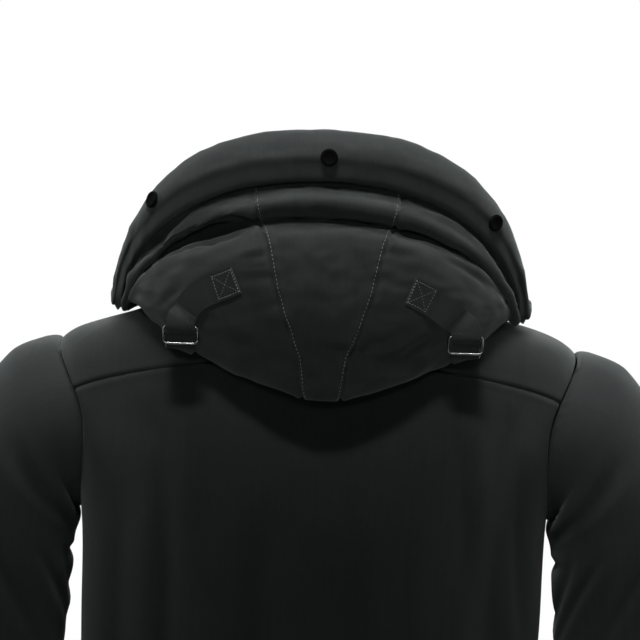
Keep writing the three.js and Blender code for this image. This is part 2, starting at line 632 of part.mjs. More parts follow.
// A rounded wire rectangle across the back, its lower bar through the origin
function ringGeometry() {
  const [halfWidth, height, r] = [RING.width / 2 - RING.wire, RING.height - 2 * RING.wire, RING.corner];
  const corners = [
    { x: halfWidth - r, z: r, from: -90 },
    { x: halfWidth - r, z: height - r, from: 0 },
    { x: r - halfWidth, z: height - r, from: 90 },
    { x: r - halfWidth, z: r, from: 180 },
  ];
  const middles = corners.flatMap(({ x, z, from }) =>
    range(4).map((share) => {
      const angle = degToRad(from + 90 * share);
      const way = new THREE.Vector3(Math.cos(angle), 0, Math.sin(angle));
      return { point: way.clone().multiplyScalar(r).add(new THREE.Vector3(x, 0, z)), way };
    }),
  );
  const grid = middles.map(({ point, way }) =>
    range(8).slice(0, 8).map((share) => {
      const angle = 2 * Math.PI * share;
      return point.clone().addScaledVector(way, RING.wire * Math.cos(angle)).setY(RING.wire * Math.sin(angle));
    }),
  );
  return torusGeometry(grid);
}

// A closed ring from a grid whose rows and columns both wrap round
function torusGeometry(grid) {
  const [rows, columns] = [grid.length, grid[0].length];
  const faces = [];
  const at = (i, j) => (i % rows) * columns + (j % columns);
  for (let i = 0; i < rows; i++) {
    for (let j = 0; j < columns; j++) {
      const [a, b, c, d] = [at(i, j), at(i, j + 1), at(i + 1, j + 1), at(i + 1, j)];
      faces.push(a, b, c, a, c, d);
    }
  }
  const geometry = new THREE.BufferGeometry();
  const positions = grid.flat().flatMap((p) => [p.x, p.y, p.z]);
  geometry.setAttribute("position", new THREE.Float32BufferAttribute(positions, 3));
  geometry.setIndex(faces);
  geometry.computeVertexNormals();
  return geometry;
}

// A press stud's cap: a low round boss with a dished face, its base on the plane z = 0
function snapGeometry() {
  const { radius, height, dish } = SNAP;
  const profile = [
    [0, 0], [radius - 0.6, 0], [radius, 0.8], [radius - 0.3, height - 0.8], [radius - 1.6, height],
    [radius - 3, height], [radius - 4, height - dish], [0, height - dish],
  ];
  const geometry = new THREE.LatheGeometry(profile.map(([x, y]) => new THREE.Vector2(x, y)), 18);
  return geometry.rotateX(Math.PI / 2);
}

function material(color, roughness, metalness) {
  return new THREE.MeshStandardMaterial({ color, roughness, metalness });
}

const CLOTH = material("#2b2e2d", 0.92, 0);
const TAPE = material("#1b1c1c", 0.9, 0);
const BLACK_METAL = material("#0c0d0d", 0.5, 0.6);
const STEEL = material("#8f9394", 0.35, 1);

const parka = new THREE.Group();

function add(name, geometry, finish) {
  const mesh = new THREE.Mesh(geometry, finish);
  mesh.name = name;
  parka.add(mesh);
  return mesh;
}

add("back", backGeometry(), CLOTH);
add("yoke", yokeGeometry(), CLOTH);
for (const [name, side] of [["left", 1], ["right", -1]]) {
  add("front_" + name, frontGeometry(side), CLOTH);
  add("sleeve_" + name, sleeveGeometry(side), CLOTH);
  add("hood_" + name, hoodSideGeometry(side), CLOTH);
}
add("hood_centre", hoodCentreGeometry(), CLOTH);
add("hood_brim", brimGeometry(), CLOTH);

for (const [name, strap] of Object.entries(STRAPS)) {
  add("strap_" + name, webbingGeometry(strapPath(strap)), TAPE);
  const ring = add("ring_" + name, ringGeometry(), STEEL);
  ring.position.set(strap.ring.x, strap.ring.y, strap.ring.z);
}

// The press studs for a fur ruff stand along the brim, each at a corner of its faces
const STUD_STATION = station("brimBelly");
const STUD_COLUMN = 2;
const sideStud = sideColumns(station("brimCrease"))[STUD_COLUMN];
const STUDS = {
  centre: { round: 0, at: STUD_STATION },
  left: { round: sideStud, at: STUD_STATION + 1 / BRIM_STEPS },
  right: { round: -sideStud, at: STUD_STATION },
};
for (const [name, { round, at }] of Object.entries(STUDS)) {
  const stud = add("snap_" + name, snapGeometry(), BLACK_METAL);
  stud.position.copy(hoodOffset(round, at, SNAP.lift));
  stud.quaternion.setFromUnitVectors(new THREE.Vector3(0, 0, 1), hoodNormal(round, at));
}

// Where the hood's outer face stands x from the centre front, at a station
function hoodRoundAt(x, at) {
  let [low, high] = [0.8, 1];
  for (let k = 0; k < 20; k++) {
    const middle = (low + high) / 2;
    if (hoodPoint(middle, at).x > x) low = middle;
    else high = middle;
  }
  return low;
}

// A tape of the zip: it runs inside the front edge, from the hem to the top of the zip
function zipTapeGeometry(side) {
  const reaches = [ZIP.split, ZIP_HALF_GAP, ZIP.tapeWidth];
  const bodyRow = (level, depth) =>
    reaches.map((x) => {
      const turn = 180 - radToDeg(Math.asin(Math.max(x, ZIP_HALF_GAP) / between(BODY, "front", level)));
      return bodyOffset(turn, level, -depth).setX(side * x);
    });
  const hoodRow = (at, depth) =>
    reaches.map((x) => hoodOffset(hoodRoundAt(Math.max(x, ZIP_HALF_GAP), at), at, -depth).setX(side * x));
  const hoodStations = [...HOOD_ROWS, ...BRIM_ROWS.slice(1)].filter((at) => at > 0.6 && at < ZIP.top);
  const layer = (depth) => [
    ...FRONT_EDGE_LEVELS.toReversed().map((level) => bodyRow(level, depth)),
    ...hoodStations.map((at) => hoodRow(at, depth)),
  ];
  return wallGeometry(layer(ZIP.tapeDepth), layer(ZIP.tapeDepth + ZIP.tapeThickness), { flip: side < 0 });
}
add("zip_tape_left", zipTapeGeometry(1), TAPE);
add("zip_tape_right", zipTapeGeometry(-1), TAPE);

// A geometry as a solid that can be joined and cut, and back again
function solidOf(geometry) {
  geometry.deleteAttribute("normal");
  geometry.deleteAttribute("uv");
  const merged = mergeVertices(geometry);
  const vertProperties = merged.getAttribute("position").array;
  const triVerts = Uint32Array.from(merged.index.array);
  return new wasm.Manifold(new wasm.Mesh({ numProp: 3, vertProperties, triVerts }));
}

function geometryOf(solid) {
  const { vertProperties, triVerts } = solid.getMesh();
  const indexed = new THREE.BufferGeometry();
  indexed.setAttribute("position", new THREE.BufferAttribute(vertProperties, 3));
  indexed.setIndex(new THREE.BufferAttribute(triVerts, 1));
  const geometry = indexed.toNonIndexed();
  geometry.computeVertexNormals();
  return geometry;
}

// A block from its lowest to its highest corner, and a round bar along X through (y, z)
function block(low, high) {
  const [width, depth, height] = high.map((value, i) => value - low[i]);
  return solidOf(new THREE.BoxGeometry(width, depth, height)
    .translate((low[0] + high[0]) / 2, (low[1] + high[1]) / 2, (low[2] + high[2]) / 2));
}

function bar(radius, halfLength, y, z) {
  const upright = new THREE.CylinderGeometry(radius, radius, 2 * halfLength, 20);
  return solidOf(upright.rotateZ(Math.PI / 2).translate(0, y, z));
}

// The slider rides between the front edges. Its two ears hold a pin for the pull.
function sliderGeometry() {
  const halfWidth = SLIDER.width / 2;
  const halfHeight = SLIDER.height / 2;
  let slider = block([-halfWidth, -SLIDER.front, -halfHeight], [halfWidth, SLIDER.back, halfHeight]);
  const [low, high] = [PIN.up - EAR.halfHeight, PIN.up + EAR.halfHeight];
  for (const x of [EAR.inside, -EAR.inside - EAR.width]) {
    slider = slider.add(block([x, -EAR.reach, low], [x + EAR.width, 0, high]));
  }
  return geometryOf(slider.add(bar(PIN.radius, EAR.inside + EAR.width / 2, -PIN.out, PIN.up)));
}

// The pull hangs from the pin: an eye, a neck that passes between the ears, and a flat tab
function pullGeometry() {
  const [halfNeck, halfTab, halfDepth] = [PULL.neckWidth / 2, PULL.width / 2, PULL.thickness / 2];
  const [y, z] = [-PIN.out, PIN.up];
  const neck = block([-halfNeck, y - halfDepth, z - PULL.neckLength], [halfNeck, y + halfDepth, z]);
  const tab = block([-halfTab, y - halfDepth, z - PULL.length], [halfTab, y + halfDepth, z - PULL.neckLength]);
  const eye = bar(PULL.eye, halfNeck, y, z);
  return geometryOf(neck.add(tab).add(eye).subtract(bar(PULL.hole, halfNeck + 1, y, z)));
}

const sliderSeat = hoodPoint(1, SLIDER.at).setX(0);
for (const [name, geometry] of [["zip_slider", sliderGeometry()], ["zip_pull", pullGeometry()]]) {
  add(name, geometry, BLACK_METAL).position.copy(sliderSeat);
}

export default parka;
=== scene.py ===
# %% [markdown]
# # A hooded winter parka, seen from behind
# The parka is padded twill, filled out as if it were worn, with its hood thrown back on the shoulders.
# The CAD model already holds every piece at its real size and place. This lesson gives each one its looks:
# a fine cloth surface with its creases, seams and stitches, and then the light of a plain studio.

# %% Load the frame
import json
import math

import bmesh
import bpy
import numpy as np
from mathutils import Matrix, Vector, noise
from mathutils.bvhtree import BVHTree

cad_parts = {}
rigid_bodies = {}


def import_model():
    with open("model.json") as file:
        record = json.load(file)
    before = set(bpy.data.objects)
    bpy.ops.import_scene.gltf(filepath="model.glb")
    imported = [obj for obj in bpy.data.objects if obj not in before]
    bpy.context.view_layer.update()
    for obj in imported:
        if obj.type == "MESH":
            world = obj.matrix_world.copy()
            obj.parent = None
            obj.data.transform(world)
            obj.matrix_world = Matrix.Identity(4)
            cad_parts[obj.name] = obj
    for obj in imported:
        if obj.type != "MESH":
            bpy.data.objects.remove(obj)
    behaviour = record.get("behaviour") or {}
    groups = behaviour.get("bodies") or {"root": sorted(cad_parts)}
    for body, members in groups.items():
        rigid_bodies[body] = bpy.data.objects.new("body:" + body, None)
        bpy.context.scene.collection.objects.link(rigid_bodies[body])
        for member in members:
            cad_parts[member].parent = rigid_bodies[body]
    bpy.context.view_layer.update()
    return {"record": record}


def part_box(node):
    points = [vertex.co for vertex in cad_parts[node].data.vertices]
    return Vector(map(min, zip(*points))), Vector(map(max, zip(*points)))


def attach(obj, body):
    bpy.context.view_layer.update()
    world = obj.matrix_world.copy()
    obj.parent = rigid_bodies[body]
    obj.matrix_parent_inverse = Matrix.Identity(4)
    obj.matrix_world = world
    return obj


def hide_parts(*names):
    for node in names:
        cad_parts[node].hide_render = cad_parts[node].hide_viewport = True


for leftover in list(bpy.data.objects):
    bpy.data.objects.remove(leftover)
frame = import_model()
MM = 0.001  # the shapes below are worked out in millimetres and made in metres


def put(name, data):
    """Places data in the scene as an object of the given name."""
    made = bpy.data.objects.new(name, data)
    bpy.context.scene.collection.objects.link(made)
    return made


# %% [markdown]
# ## The camera
# The photograph looks straight at the back from about 3 m, through a long lens, and is turned by a degree or two.
# The camera comes first, because the creases that show in the photograph are placed as the camera sees them.

# %% Make the camera
PICTURE_WIDTH = 589  # millimetres across the picture at the garment
CAMERA_DISTANCE = 3000
TARGET_HEIGHT = -41
ROLL = math.radians(1.8)

camera_data = bpy.data.cameras.new("camera")
camera_data.sensor_width = 36
camera_data.lens = camera_data.sensor_width * CAMERA_DISTANCE / PICTURE_WIDTH
camera = put("camera", camera_data)
camera.location = Vector((0, CAMERA_DISTANCE, TARGET_HEIGHT)) * MM
camera.rotation_euler = (math.radians(90), 0, math.radians(180))
camera.rotation_euler.rotate_axis("Z", ROLL)
bpy.context.scene.camera = camera


def seen(points):
    """Where points show in the picture, in millimetres right of and above its middle."""
    nearer = CAMERA_DISTANCE / (CAMERA_DISTANCE - points[..., 1])
    right, up = -points[..., 0] * nearer, (points[..., 2] - TARGET_HEIGHT) * nearer
    turned_right = right * math.cos(ROLL) + up * math.sin(ROLL)
    turned_up = up * math.cos(ROLL) - right * math.sin(ROLL)
    return turned_right, turned_up


print("lens", round(camera_data.lens, 1))

# %% [markdown]
# ## Small tools for curves
# A garment is cut from a few curves, so short tables of sections say what it looks like, and a smooth curve
# through their rows fills in the rest. The helpers work on whole grids of numbers at once, which is quick.

# %% Tables and curves


def table(names, rows):
    """The named columns of a short table."""
    return dict(zip(names.split(), np.array(rows, float).T))


def between(column, at):
    """A column's value at a fractional row, on a smooth curve through the rows."""
    row = np.clip(np.floor(at).astype(int), 0, len(column) - 2)
    f = at - row
    a, b, c, d = (column[np.clip(row + step, 0, len(column) - 1)] for step in (-1, 0, 1, 2))
    return b + 0.5 * f * (c - a + f * (2 * a - 5 * b + 4 * c - d + f * (3 * (b - c) + d - a)))


def lerp(a, b, share):
    return a + (b - a) * share


def smoothstep(x, low, high):
    share = np.clip((x - low) / (high - low), 0, 1)
    return share * share * (3 - 2 * share)


def bump(x):
    """1 in the middle, falling smoothly to 0 at plus and minus 1."""
    return np.where(np.abs(x) < 1, np.cos(x * np.pi / 2) ** 2, 0)


def hill(x):
    """1 at 0, falling away softly on both sides."""
    return np.exp(-(x ** 2))


def bisect(inside, low, high, steps):
    """Closes in on the place where inside turns from true to false: the last values on both sides of it."""
    for _ in range(steps):
        middle = (low + high) / 2
        below = inside(middle)
        low, high = np.where(below, middle, low), np.where(below, high, middle)
    return low, high


def unit(vectors):
    return vectors / np.maximum(np.linalg.norm(vectors, axis=-1, keepdims=True), 1e-9)


# %% [markdown]
# ## The body's form
# Rings from the neck to the hem give the body its cut. Each ring is a squarish ellipse that dips at the back and
# at the front. The sizes are the ones that the solids are made from, so the cloth lies on them.

# %% The body's sections
BODY = table("side back front side_z back_z front_z square", [
    (85, 74, 98, 0, -20, -88, 2.3),  # neck
    (160, 98, 116, -33, -50, -118, 2.5),
    (234, 116, 132, -65, -95, -155, 3),  # shoulder point
    (228, 127, 143, -140, -150, -190, 3),
    (212, 131, 150, -218, -218, -232, 2.8),  # underarm
    (209, 130, 151, -320, -320, -325, 2.7),
    (208, 129, 150, -440, -440, -442, 2.6),
    (214, 134, 154, -600, -600, -600, 2.6),
    (226, 142, 160, -770, -776, -766, 2.6),  # hem
])
UNDERARM_LEVEL = 4
HEM_LEVEL = 8
ZIP_HALF_GAP = 5
SOFT_FOLDS = [  # degrees round from the centre back, width, depth, and the levels between which each shows
    (-58, 9, 5, 3.2, 7),
    (-42, 8, 3, 3, 6),
    (46, 9, 3, 3.4, 7),
    (60, 8, 4, 4, 8.5),
    (-18, 10, 2.5, 5, 8.5),
    (140, 10, 4, 3.4, 7),
    (-134, 11, 4, 3.8, 8),
]


def body_point(turn, level):
    """A point of the body, turn degrees round from the centre back towards the wearer's left."""
    turn, level = np.broadcast_arrays(np.asarray(turn, float), np.asarray(level, float))
    sine, cosine = np.sin(np.radians(turn)), np.cos(np.radians(turn))
    behind = cosine > 0
    square = between(BODY["square"], level)
    deep = np.where(behind, between(BODY["back"], level), between(BODY["front"], level))
    middle_z = np.where(behind, between(BODY["back_z"], level), between(BODY["front_z"], level))
    shares = (np.abs(sine) / between(BODY["side"], level)) ** square + (np.abs(cosine) / deep) ** square
    reach = shares ** (-1 / square)
    for middle, width, depth, top, bottom in SOFT_FOLDS:
        reach = reach - depth * bump((turn - middle) / width) * bump((2 * level - top - bottom) / (bottom - top))
    z = lerp(middle_z, between(BODY["side_z"], level), sine ** 2)
    return np.stack([reach * sine, reach * cosine, z], -1)


def body_normal(turn, level):
    level = np.maximum(level, 0.01)
    across = body_point(turn + 0.2, level) - body_point(turn - 0.2, level)
    down = body_point(turn, level + 0.01) - body_point(turn, level - 0.01)
    return unit(np.cross(across, down))


def body_height(x, y):
    """How high the body stands at a place in plan, below its neck."""
    turn, reach = np.degrees(np.arctan2(x, y)), np.hypot(x, y)

    def inside(level):
        p = body_point(turn, level)
        return np.hypot(p[..., 0], p[..., 1]) < reach

    level = bisect(inside, np.zeros_like(x), np.full_like(x, UNDERARM_LEVEL), 16)[0]
    return body_point(turn, level)[..., 2]


print("underarm half width", round(float(body_point(90, UNDERARM_LEVEL)[0]), 1))

# %% [markdown]
# ## The hood's form
# The hood hangs back in two rolls: the stiff brim on top, a softer roll under it, and then the crown, which sags
# to a point. Fifteen lines that run round it from one front edge to the other describe that. A section at any
# place round is a smooth curve through them, held up by the shoulders wherever it would sink into them.

# %% The hood's lines
HOOD = [  # back y and z, corner x, y and z, front y and z, squareness of the arch, least height over the body
    ("stand", 84, 22, 95, 25, 12, -102, -76, 2, 6),
    ("crest", 101, 48, 109, 30, 16, -104, -70, 2, 8),
    ("under_top", 125, 33, 123, 36, 8, -105, -64, 1.9, 6),
    ("under_middle", 139, -28, 138, 42, -6, -106, -59, 1.6, 3),
    ("under_low", 148, -86, 152, 48, -20, -107, -55, 1.4, 2),
    ("tip", 170, -113, 164, 53, -30, -108, -51, 1.4, 2),
    ("bag_low", 199, -76, 169, 57, -33, -109, -47, 1.7, 2),
    ("bag_belly", 214, -17, 173, 60, -34, -110, -43, 2, 2),
    ("bag_top", 208, 37.5, 175, 62, -43, -111, -39, 2.05, 3),
    ("deep_crease", 178, 45, 176, 61, -44, -111, -36, 2.05, 4),
    ("second_roll", 204, 60, 177.5, 60, -46, -112, -33, 2, 6),
    ("brim_crease", 180, 77, 179.5, 57, -44, -112, -30, 2.15, 9),
    ("brim_belly", 202, 100, 189, 50, -60, -119, -16, 2.4, 15),
    ("brim_top", 184, 124.5, 191, 40, -72, -115, 6, 2.5, 28),
    ("brim_edge", 156, 111, 176, 30, -66, -104, 3, 2.45, 26),
]
STATION = {row[0]: 1 + i for i, row in enumerate(HOOD)}
LAST_STATION = len(HOOD)
HOOD_CORNER = 0.42  # the corner's share of the way from the centre back to the front edge
HOOD_SOFTEN = 0.07
HAND_LEAN = 0.016  # the hood sits a little higher on the wearer's left
HAND_SWING = -3.5  # and its middle hangs a little to the right
REST_SOFTNESS = 4
NECK_SEAT = {"distance": 4.2, "lift": 1.1}


def hood_line(row, round_):
    """A line of the hood, from -1 at the right front edge, through 0 at the centre back, to 1 at the left."""
    _, back_y, back_z, corner_x, corner_y, corner_z, front_y, front_z, square, _ = row
    share, side = np.minimum(np.abs(round_), 1), np.where(round_ < 0, -1, 1)
    angle = np.minimum(share / HOOD_CORNER, 1) * np.pi / 2
    behind = np.stack([
        side * corner_x * np.sin(angle) ** (2 / square),
        lerp(corner_y, back_y, np.cos(angle)),
        lerp(corner_z, back_z, np.maximum(np.cos(angle), 0) ** (2 / square)),
    ], -1)
    angle = np.maximum((share - HOOD_CORNER) / (1 - HOOD_CORNER), 0) * np.pi / 2
    ahead = np.stack([
        side * lerp(ZIP_HALF_GAP, corner_x, np.cos(angle)),
        lerp(corner_y, front_y, np.sin(angle)),
        lerp(front_z, corner_z, np.cos(angle)),
    ], -1)
    return np.where((share < HOOD_CORNER)[..., None], behind, ahead)


def soft_hood_line(row, round_):
    """The same line with its corner rounded off."""
    step = np.minimum(HOOD_SOFTEN, 1 - np.abs(round_)) / 2
    weights = {-2: 1, -1: 4, 0: 6, 1: 4, 2: 1}
    return sum(weight * hood_line(row, round_ + k * step) for k, weight in weights.items()) / 16


def neck_point(turn, distance, lift):
    """A point of the neck seam, so far down from the body's top edge and so far above the body."""
    probe = 0.1
    level = probe * distance / np.linalg.norm(body_point(turn, probe) - body_point(turn, 0), axis=-1)
    return body_point(turn, level) + body_normal(turn, level) * lift


# %% The hood's sections
PROFILE_ROUNDS = np.linspace(-1, 1, 1601)
NECK_END_TURN = 180 - math.degrees(math.asin(ZIP_HALF_GAP / BODY["front"][0]))


def hood_profiles():
    """The hood's sections at many places round: their points, and their slopes by the root of the chord."""
    sections = [neck_point(PROFILE_ROUNDS * NECK_END_TURN, NECK_SEAT["distance"], NECK_SEAT["lift"])]
    for i, row in enumerate(HOOD):
        p = soft_hood_line(row, PROFILE_ROUNDS)
        p[:, 2] += HAND_LEAN * p[:, 0] * smoothstep(i, 0, 5)
        p[:, 0] += HAND_SWING * bump(PROFILE_ROUNDS / HOOD_CORNER) * smoothstep(i, 0, 5)
        floor = body_height(p[:, 0], p[:, 1]) + row[-1]
        p[:, 2] = (p[:, 2] + floor + np.hypot(p[:, 2] - floor, REST_SOFTNESS)) / 2
        sections.append(p)
    points = np.stack(sections, 1)
    steps = np.sqrt(np.linalg.norm(np.diff(points, axis=1), axis=-1, keepdims=True))
    speeds = np.diff(points, axis=1) / steps
    before, after = steps[:, :-1], steps[:, 1:]
    slopes = np.empty_like(points)
    slopes[:, 0], slopes[:, -1] = speeds[:, 0], speeds[:, -1]
    slopes[:, 1:-1] = (speeds[:, :-1] * after + speeds[:, 1:] * before) / (before + after)
    return points, slopes, steps


HOOD_POINTS, HOOD_SLOPES, HOOD_STEPS = hood_profiles()
print("hood's highest point", round(float(HOOD_POINTS[..., 2].max()), 1))

# %% Any point of the hood


def hood_point(round_, at):
    """A point of the hood's outer face; at counts the lines from 0 at the neck seam."""
    round_, at = np.broadcast_arrays(np.asarray(round_, float), np.asarray(at, float))
    place = (np.clip(round_, -1, 1) + 1) / 2 * (len(PROFILE_ROUNDS) - 1)
    column = np.clip(place.astype(int), 0, len(PROFILE_ROUNDS) - 2)
    i = np.clip(np.floor(at).astype(int), 0, LAST_STATION - 1)
    f = (at - i)[..., None]
    f2, f3 = f * f, f * f * f

    def section(c):
        step = HOOD_STEPS[c, i]
        return (
            HOOD_POINTS[c, i] * (2 * f3 - 3 * f2 + 1) + HOOD_SLOPES[c, i] * step * (f3 - 2 * f2 + f)
            + HOOD_POINTS[c, i + 1] * (3 * f2 - 2 * f3) + HOOD_SLOPES[c, i + 1] * step * (f3 - f2)
        )

    return lerp(section(column), section(column + 1), (place - column)[..., None])


def hood_normal(round_, at):
    round_ = np.clip(round_, -0.998, 0.998)
    across = hood_point(round_ + 0.002, at) - hood_point(round_ - 0.002, at)
    along = hood_point(round_, np.minimum(at + 0.02, LAST_STATION)) - hood_point(round_, np.maximum(at - 0.02, 0))
    return unit(-np.cross(across, along))


# %% [markdown]
# ## From a grid to cloth
# A panel of cloth starts as a grid of points on the form. Seams, creases and the soft lumps of the padding are
# then added as heights along its normals, and only at the end is it given its thickness. Working with heights
# keeps every crease a named, measured thing, which a simulation wouldn't, and lets it be put where it shows.
# The normals come from the form itself, so two panels that meet at a seam have the same ones there.

# %% The panel
SHELL_THICKNESS = 2.6


def lengths_along(points, axis):
    """The lengths of the grid's lines, added up from their first point."""
    steps = np.linalg.norm(np.diff(points, axis=axis), axis=-1)
    start = np.zeros_like(np.take(steps, [0], axis))
    return np.concatenate([start, np.cumsum(steps, axis)], axis)


class Panel:
    """A panel of cloth: a grid of points in millimetres, with rows down it and columns across."""

    def __init__(self, name, points, normals, outward=1, loop=False):
        self.name, self.points, self.normals = name, points, normals
        self.outward, self.loop = outward, loop
        self.across, self.down = lengths_along(points, 1), lengths_along(points, 0)
        self.height = np.zeros(points.shape[:2])

    def from_edge(self, edge):
        """Each point's distance from an edge, along the grid."""
        return {
            "first": self.across,
            "last": self.across[:, -1:] - self.across,
            "top": self.down,
            "bottom": self.down[-1:] - self.down,
        }[edge]

    def surface(self, lift=0.0):
        return self.points + self.normals * (self.height + lift)[..., None]

    def beside(self, edge, inset, lift=0.0):
        """A line on the finished face, inset from an edge: its points and its normals."""
        away, grids = self.from_edge(edge), [self.surface(lift), self.normals]
        if edge in ("top", "bottom"):
            away, grids = away.T, [grid.swapaxes(0, 1) for grid in grids]
        if edge in ("last", "bottom"):
            away, grids = away[:, ::-1], [grid[:, ::-1] for grid in grids]
        i, k = np.arange(len(away)), np.argmax(away > inset, axis=1)
        share = (inset - away[i, k - 1]) / (away[i, k] - away[i, k - 1])
        points, normals = (lerp(grid[i, k - 1], grid[i, k], share[:, None]) for grid in grids)
        if self.loop:
            points, normals = (np.concatenate([line, line[:1]]) for line in (points, normals))
        return points, normals

    def size(self):
        """Its width and length laid flat, and its area, in metres."""
        rows, columns = np.diff(self.across, axis=1), np.diff(self.down, axis=0)
        area = np.sum((rows[1:] + rows[:-1]) / 2 * (columns[:, 1:] + columns[:, :-1]) / 2)
        return self.across[:, -1].max() * MM, self.down[-1].max() * MM, area * MM * MM


def ring_normals(points, outward):
    """The normals of a grid whose columns close into a ring."""
    ringed = np.concatenate([points[:, -1:], points, points[:, :1]], 1)
    across = np.gradient(ringed, axis=1)[:, 1:-1]
    return outward * unit(np.cross(across, np.gradient(points, axis=0)))


# %% [markdown]
# ## Relief in cloth
# At a seam both panels turn in over the seam allowance, so the padding rises beside it and the stitching pulls
# small puckers across it. A crease is a trough with a soft ridge beside it. The padding itself is never quite
# even, and a few octaves of noise, from a hand's width down to a finger's, give it that. The noise is read at
# places in space, so it runs on across a seam from one panel to the next.

# %% Relief helpers


def add_seam(panel, *edges, depth=1.6, width=2.2, pucker=0.22):
    """Turns the named edges in, with the puckers that the stitches pull."""
    for edge in edges:
        away = panel.from_edge(edge)
        along = panel.down if edge in ("first", "last") else panel.across
        ripple = np.sin(along / 1.9 + 2.3 * np.sin(along / 11) + 1.1 * np.sin(along / 29))
        panel.height -= depth * hill(away / width)
        panel.height += 0.3 * depth * hill((away - 3 * width) / (2.2 * width))
        panel.height += pucker * ripple * hill((away - 2.4) / 5)


def add_channel(panel, edge, inset, depth=0.8, width=2.0, pucker=0.3):
    """The shallow channel that a row of stitches pulls, inset from an edge."""
    away = panel.from_edge(edge) - inset
    along = panel.down if edge in ("first", "last") else panel.across
    ripple = np.sin(along / 2.3 + 2 * np.sin(along / 13))
    panel.height -= depth * hill(away / width)
    panel.height += pucker * ripple * hill(away / 7)


def add_lumps(panel, seed, sizes, stretch=1.0):
    """The unevenness of the padding: for each size in millimetres, how high it stands."""
    base = panel.points * np.array([1, 1, 1 / stretch])
    for size, amount in sizes:
        places = base.reshape(-1, 3) / size + seed
        lump = np.array([noise.noise(Vector(p)) for p in places.tolist()])
        panel.height += amount * lump.reshape(panel.height.shape)


def crease(u, v, start, end, bend, width, depth, ridge=0.35):
    """The height of one crease at places (u, v). Its middle is bent, and its ridge stands, to the left of its way."""
    (u0, v0), (u1, v1) = start, end
    length = math.hypot(u1 - u0, v1 - v0)
    along_u, along_v = (u1 - u0) / length, (v1 - v0) / length
    share = ((u - u0) * along_u + (v - v0) * along_v) / length
    off = (v - v0) * along_u - (u - u0) * along_v - 4 * bend * share * (1 - share)
    ends = np.where((share > 0) & (share < 1), np.sin(np.pi * np.clip(share, 0, 1)) ** 0.8, 0)
    return ends * depth * (ridge * hill((off - 2 * width) / (1.2 * width)) - hill(off / width))


def add_creases(panel, u, v, rows, mask=1.0):
    for row in rows:
        panel.height += mask * crease(u, v, *row)


def calm(panel, edge, reach):
    """Lets the relief die away towards an edge that has to lie flat."""
    panel.height *= smoothstep(panel.from_edge(edge), 0, reach)


# %% [markdown]
# ## Weave as a node group
# Every cloth here is a fine diagonal twill, and its yarns are never quite alike, which shows as faint streaks
# along the warp. One node group makes both from the panel's own UV map, which is in metres of cloth. It gives a
# height for the bump and a value for the tone, and each material sets its own scale.

# %% Short ways to wire nodes


class Wiring:
    """Short ways to place and join nodes in a tree."""

    def __init__(self, tree):
        self.tree = tree

    def node(self, kind, *inputs, **settings):
        made = self.tree.nodes.new(kind)
        for key, value in settings.items():
            setattr(made, key, value)
        for i, value in enumerate(inputs):
            self.feed(value, made.inputs[i])
        return made

    def feed(self, value, socket):
        if isinstance(value, bpy.types.NodeSocket):
            self.tree.links.new(value, socket)
        elif value is not None:
            socket.default_value = value

    def math(self, operation, *inputs):
        return self.node("ShaderNodeMath", *inputs, operation=operation).outputs[0]

    def times(self, value, factor):
        return self.math("MULTIPLY", value, factor)

    def total(self, first, *others):
        for other in others:
            first = self.math("ADD", first, other)
        return first

    def blend(self, share, dark, pale):
        made = self.node("ShaderNodeMix", data_type="RGBA", clamp_factor=True)
        for i, value in ((0, share), (6, (*dark, 1)), (7, (*pale, 1))):
            self.feed(value, made.inputs[i])
        return made.outputs[2]

    def noise(self, vector, scale, detail=2.0, roughness=0.5):
        made = self.node("ShaderNodeTexNoise", vector)
        for key, value in (("Scale", scale), ("Detail", detail), ("Roughness", roughness)):
            made.inputs[key].default_value = value
        return made.outputs["Fac"]

    def stretched(self, vector, scale):
        return self.node("ShaderNodeVectorMath", vector, scale, operation="MULTIPLY").outputs[0]

    def vector(self, x, y, z):
        return self.node("ShaderNodeCombineXYZ", x, y, z).outputs[0]

    def moved(self, geometry, **changes):
        made = self.node("GeometryNodeTransform")
        for key, value in {"Geometry": geometry, **changes}.items():
            self.feed(value, made.inputs[key])
        return made.outputs[0]


# %% The weave group


def new_tree(name, kind, inputs, outputs):
    """A node group with named sockets, each a name and a kind, and for an input with a value that one too."""
    tree = bpy.data.node_groups.new(name, kind)
    for socket, socket_kind, *value in inputs:
        made = tree.interface.new_socket(socket, in_out="INPUT", socket_type="NodeSocket" + socket_kind)
        if value:
            made.default_value = value[0]
    for socket, socket_kind in outputs:
        tree.interface.new_socket(socket, in_out="OUTPUT", socket_type="NodeSocket" + socket_kind)
    return tree, tree.nodes.new("NodeGroupInput"), tree.nodes.new("NodeGroupOutput")


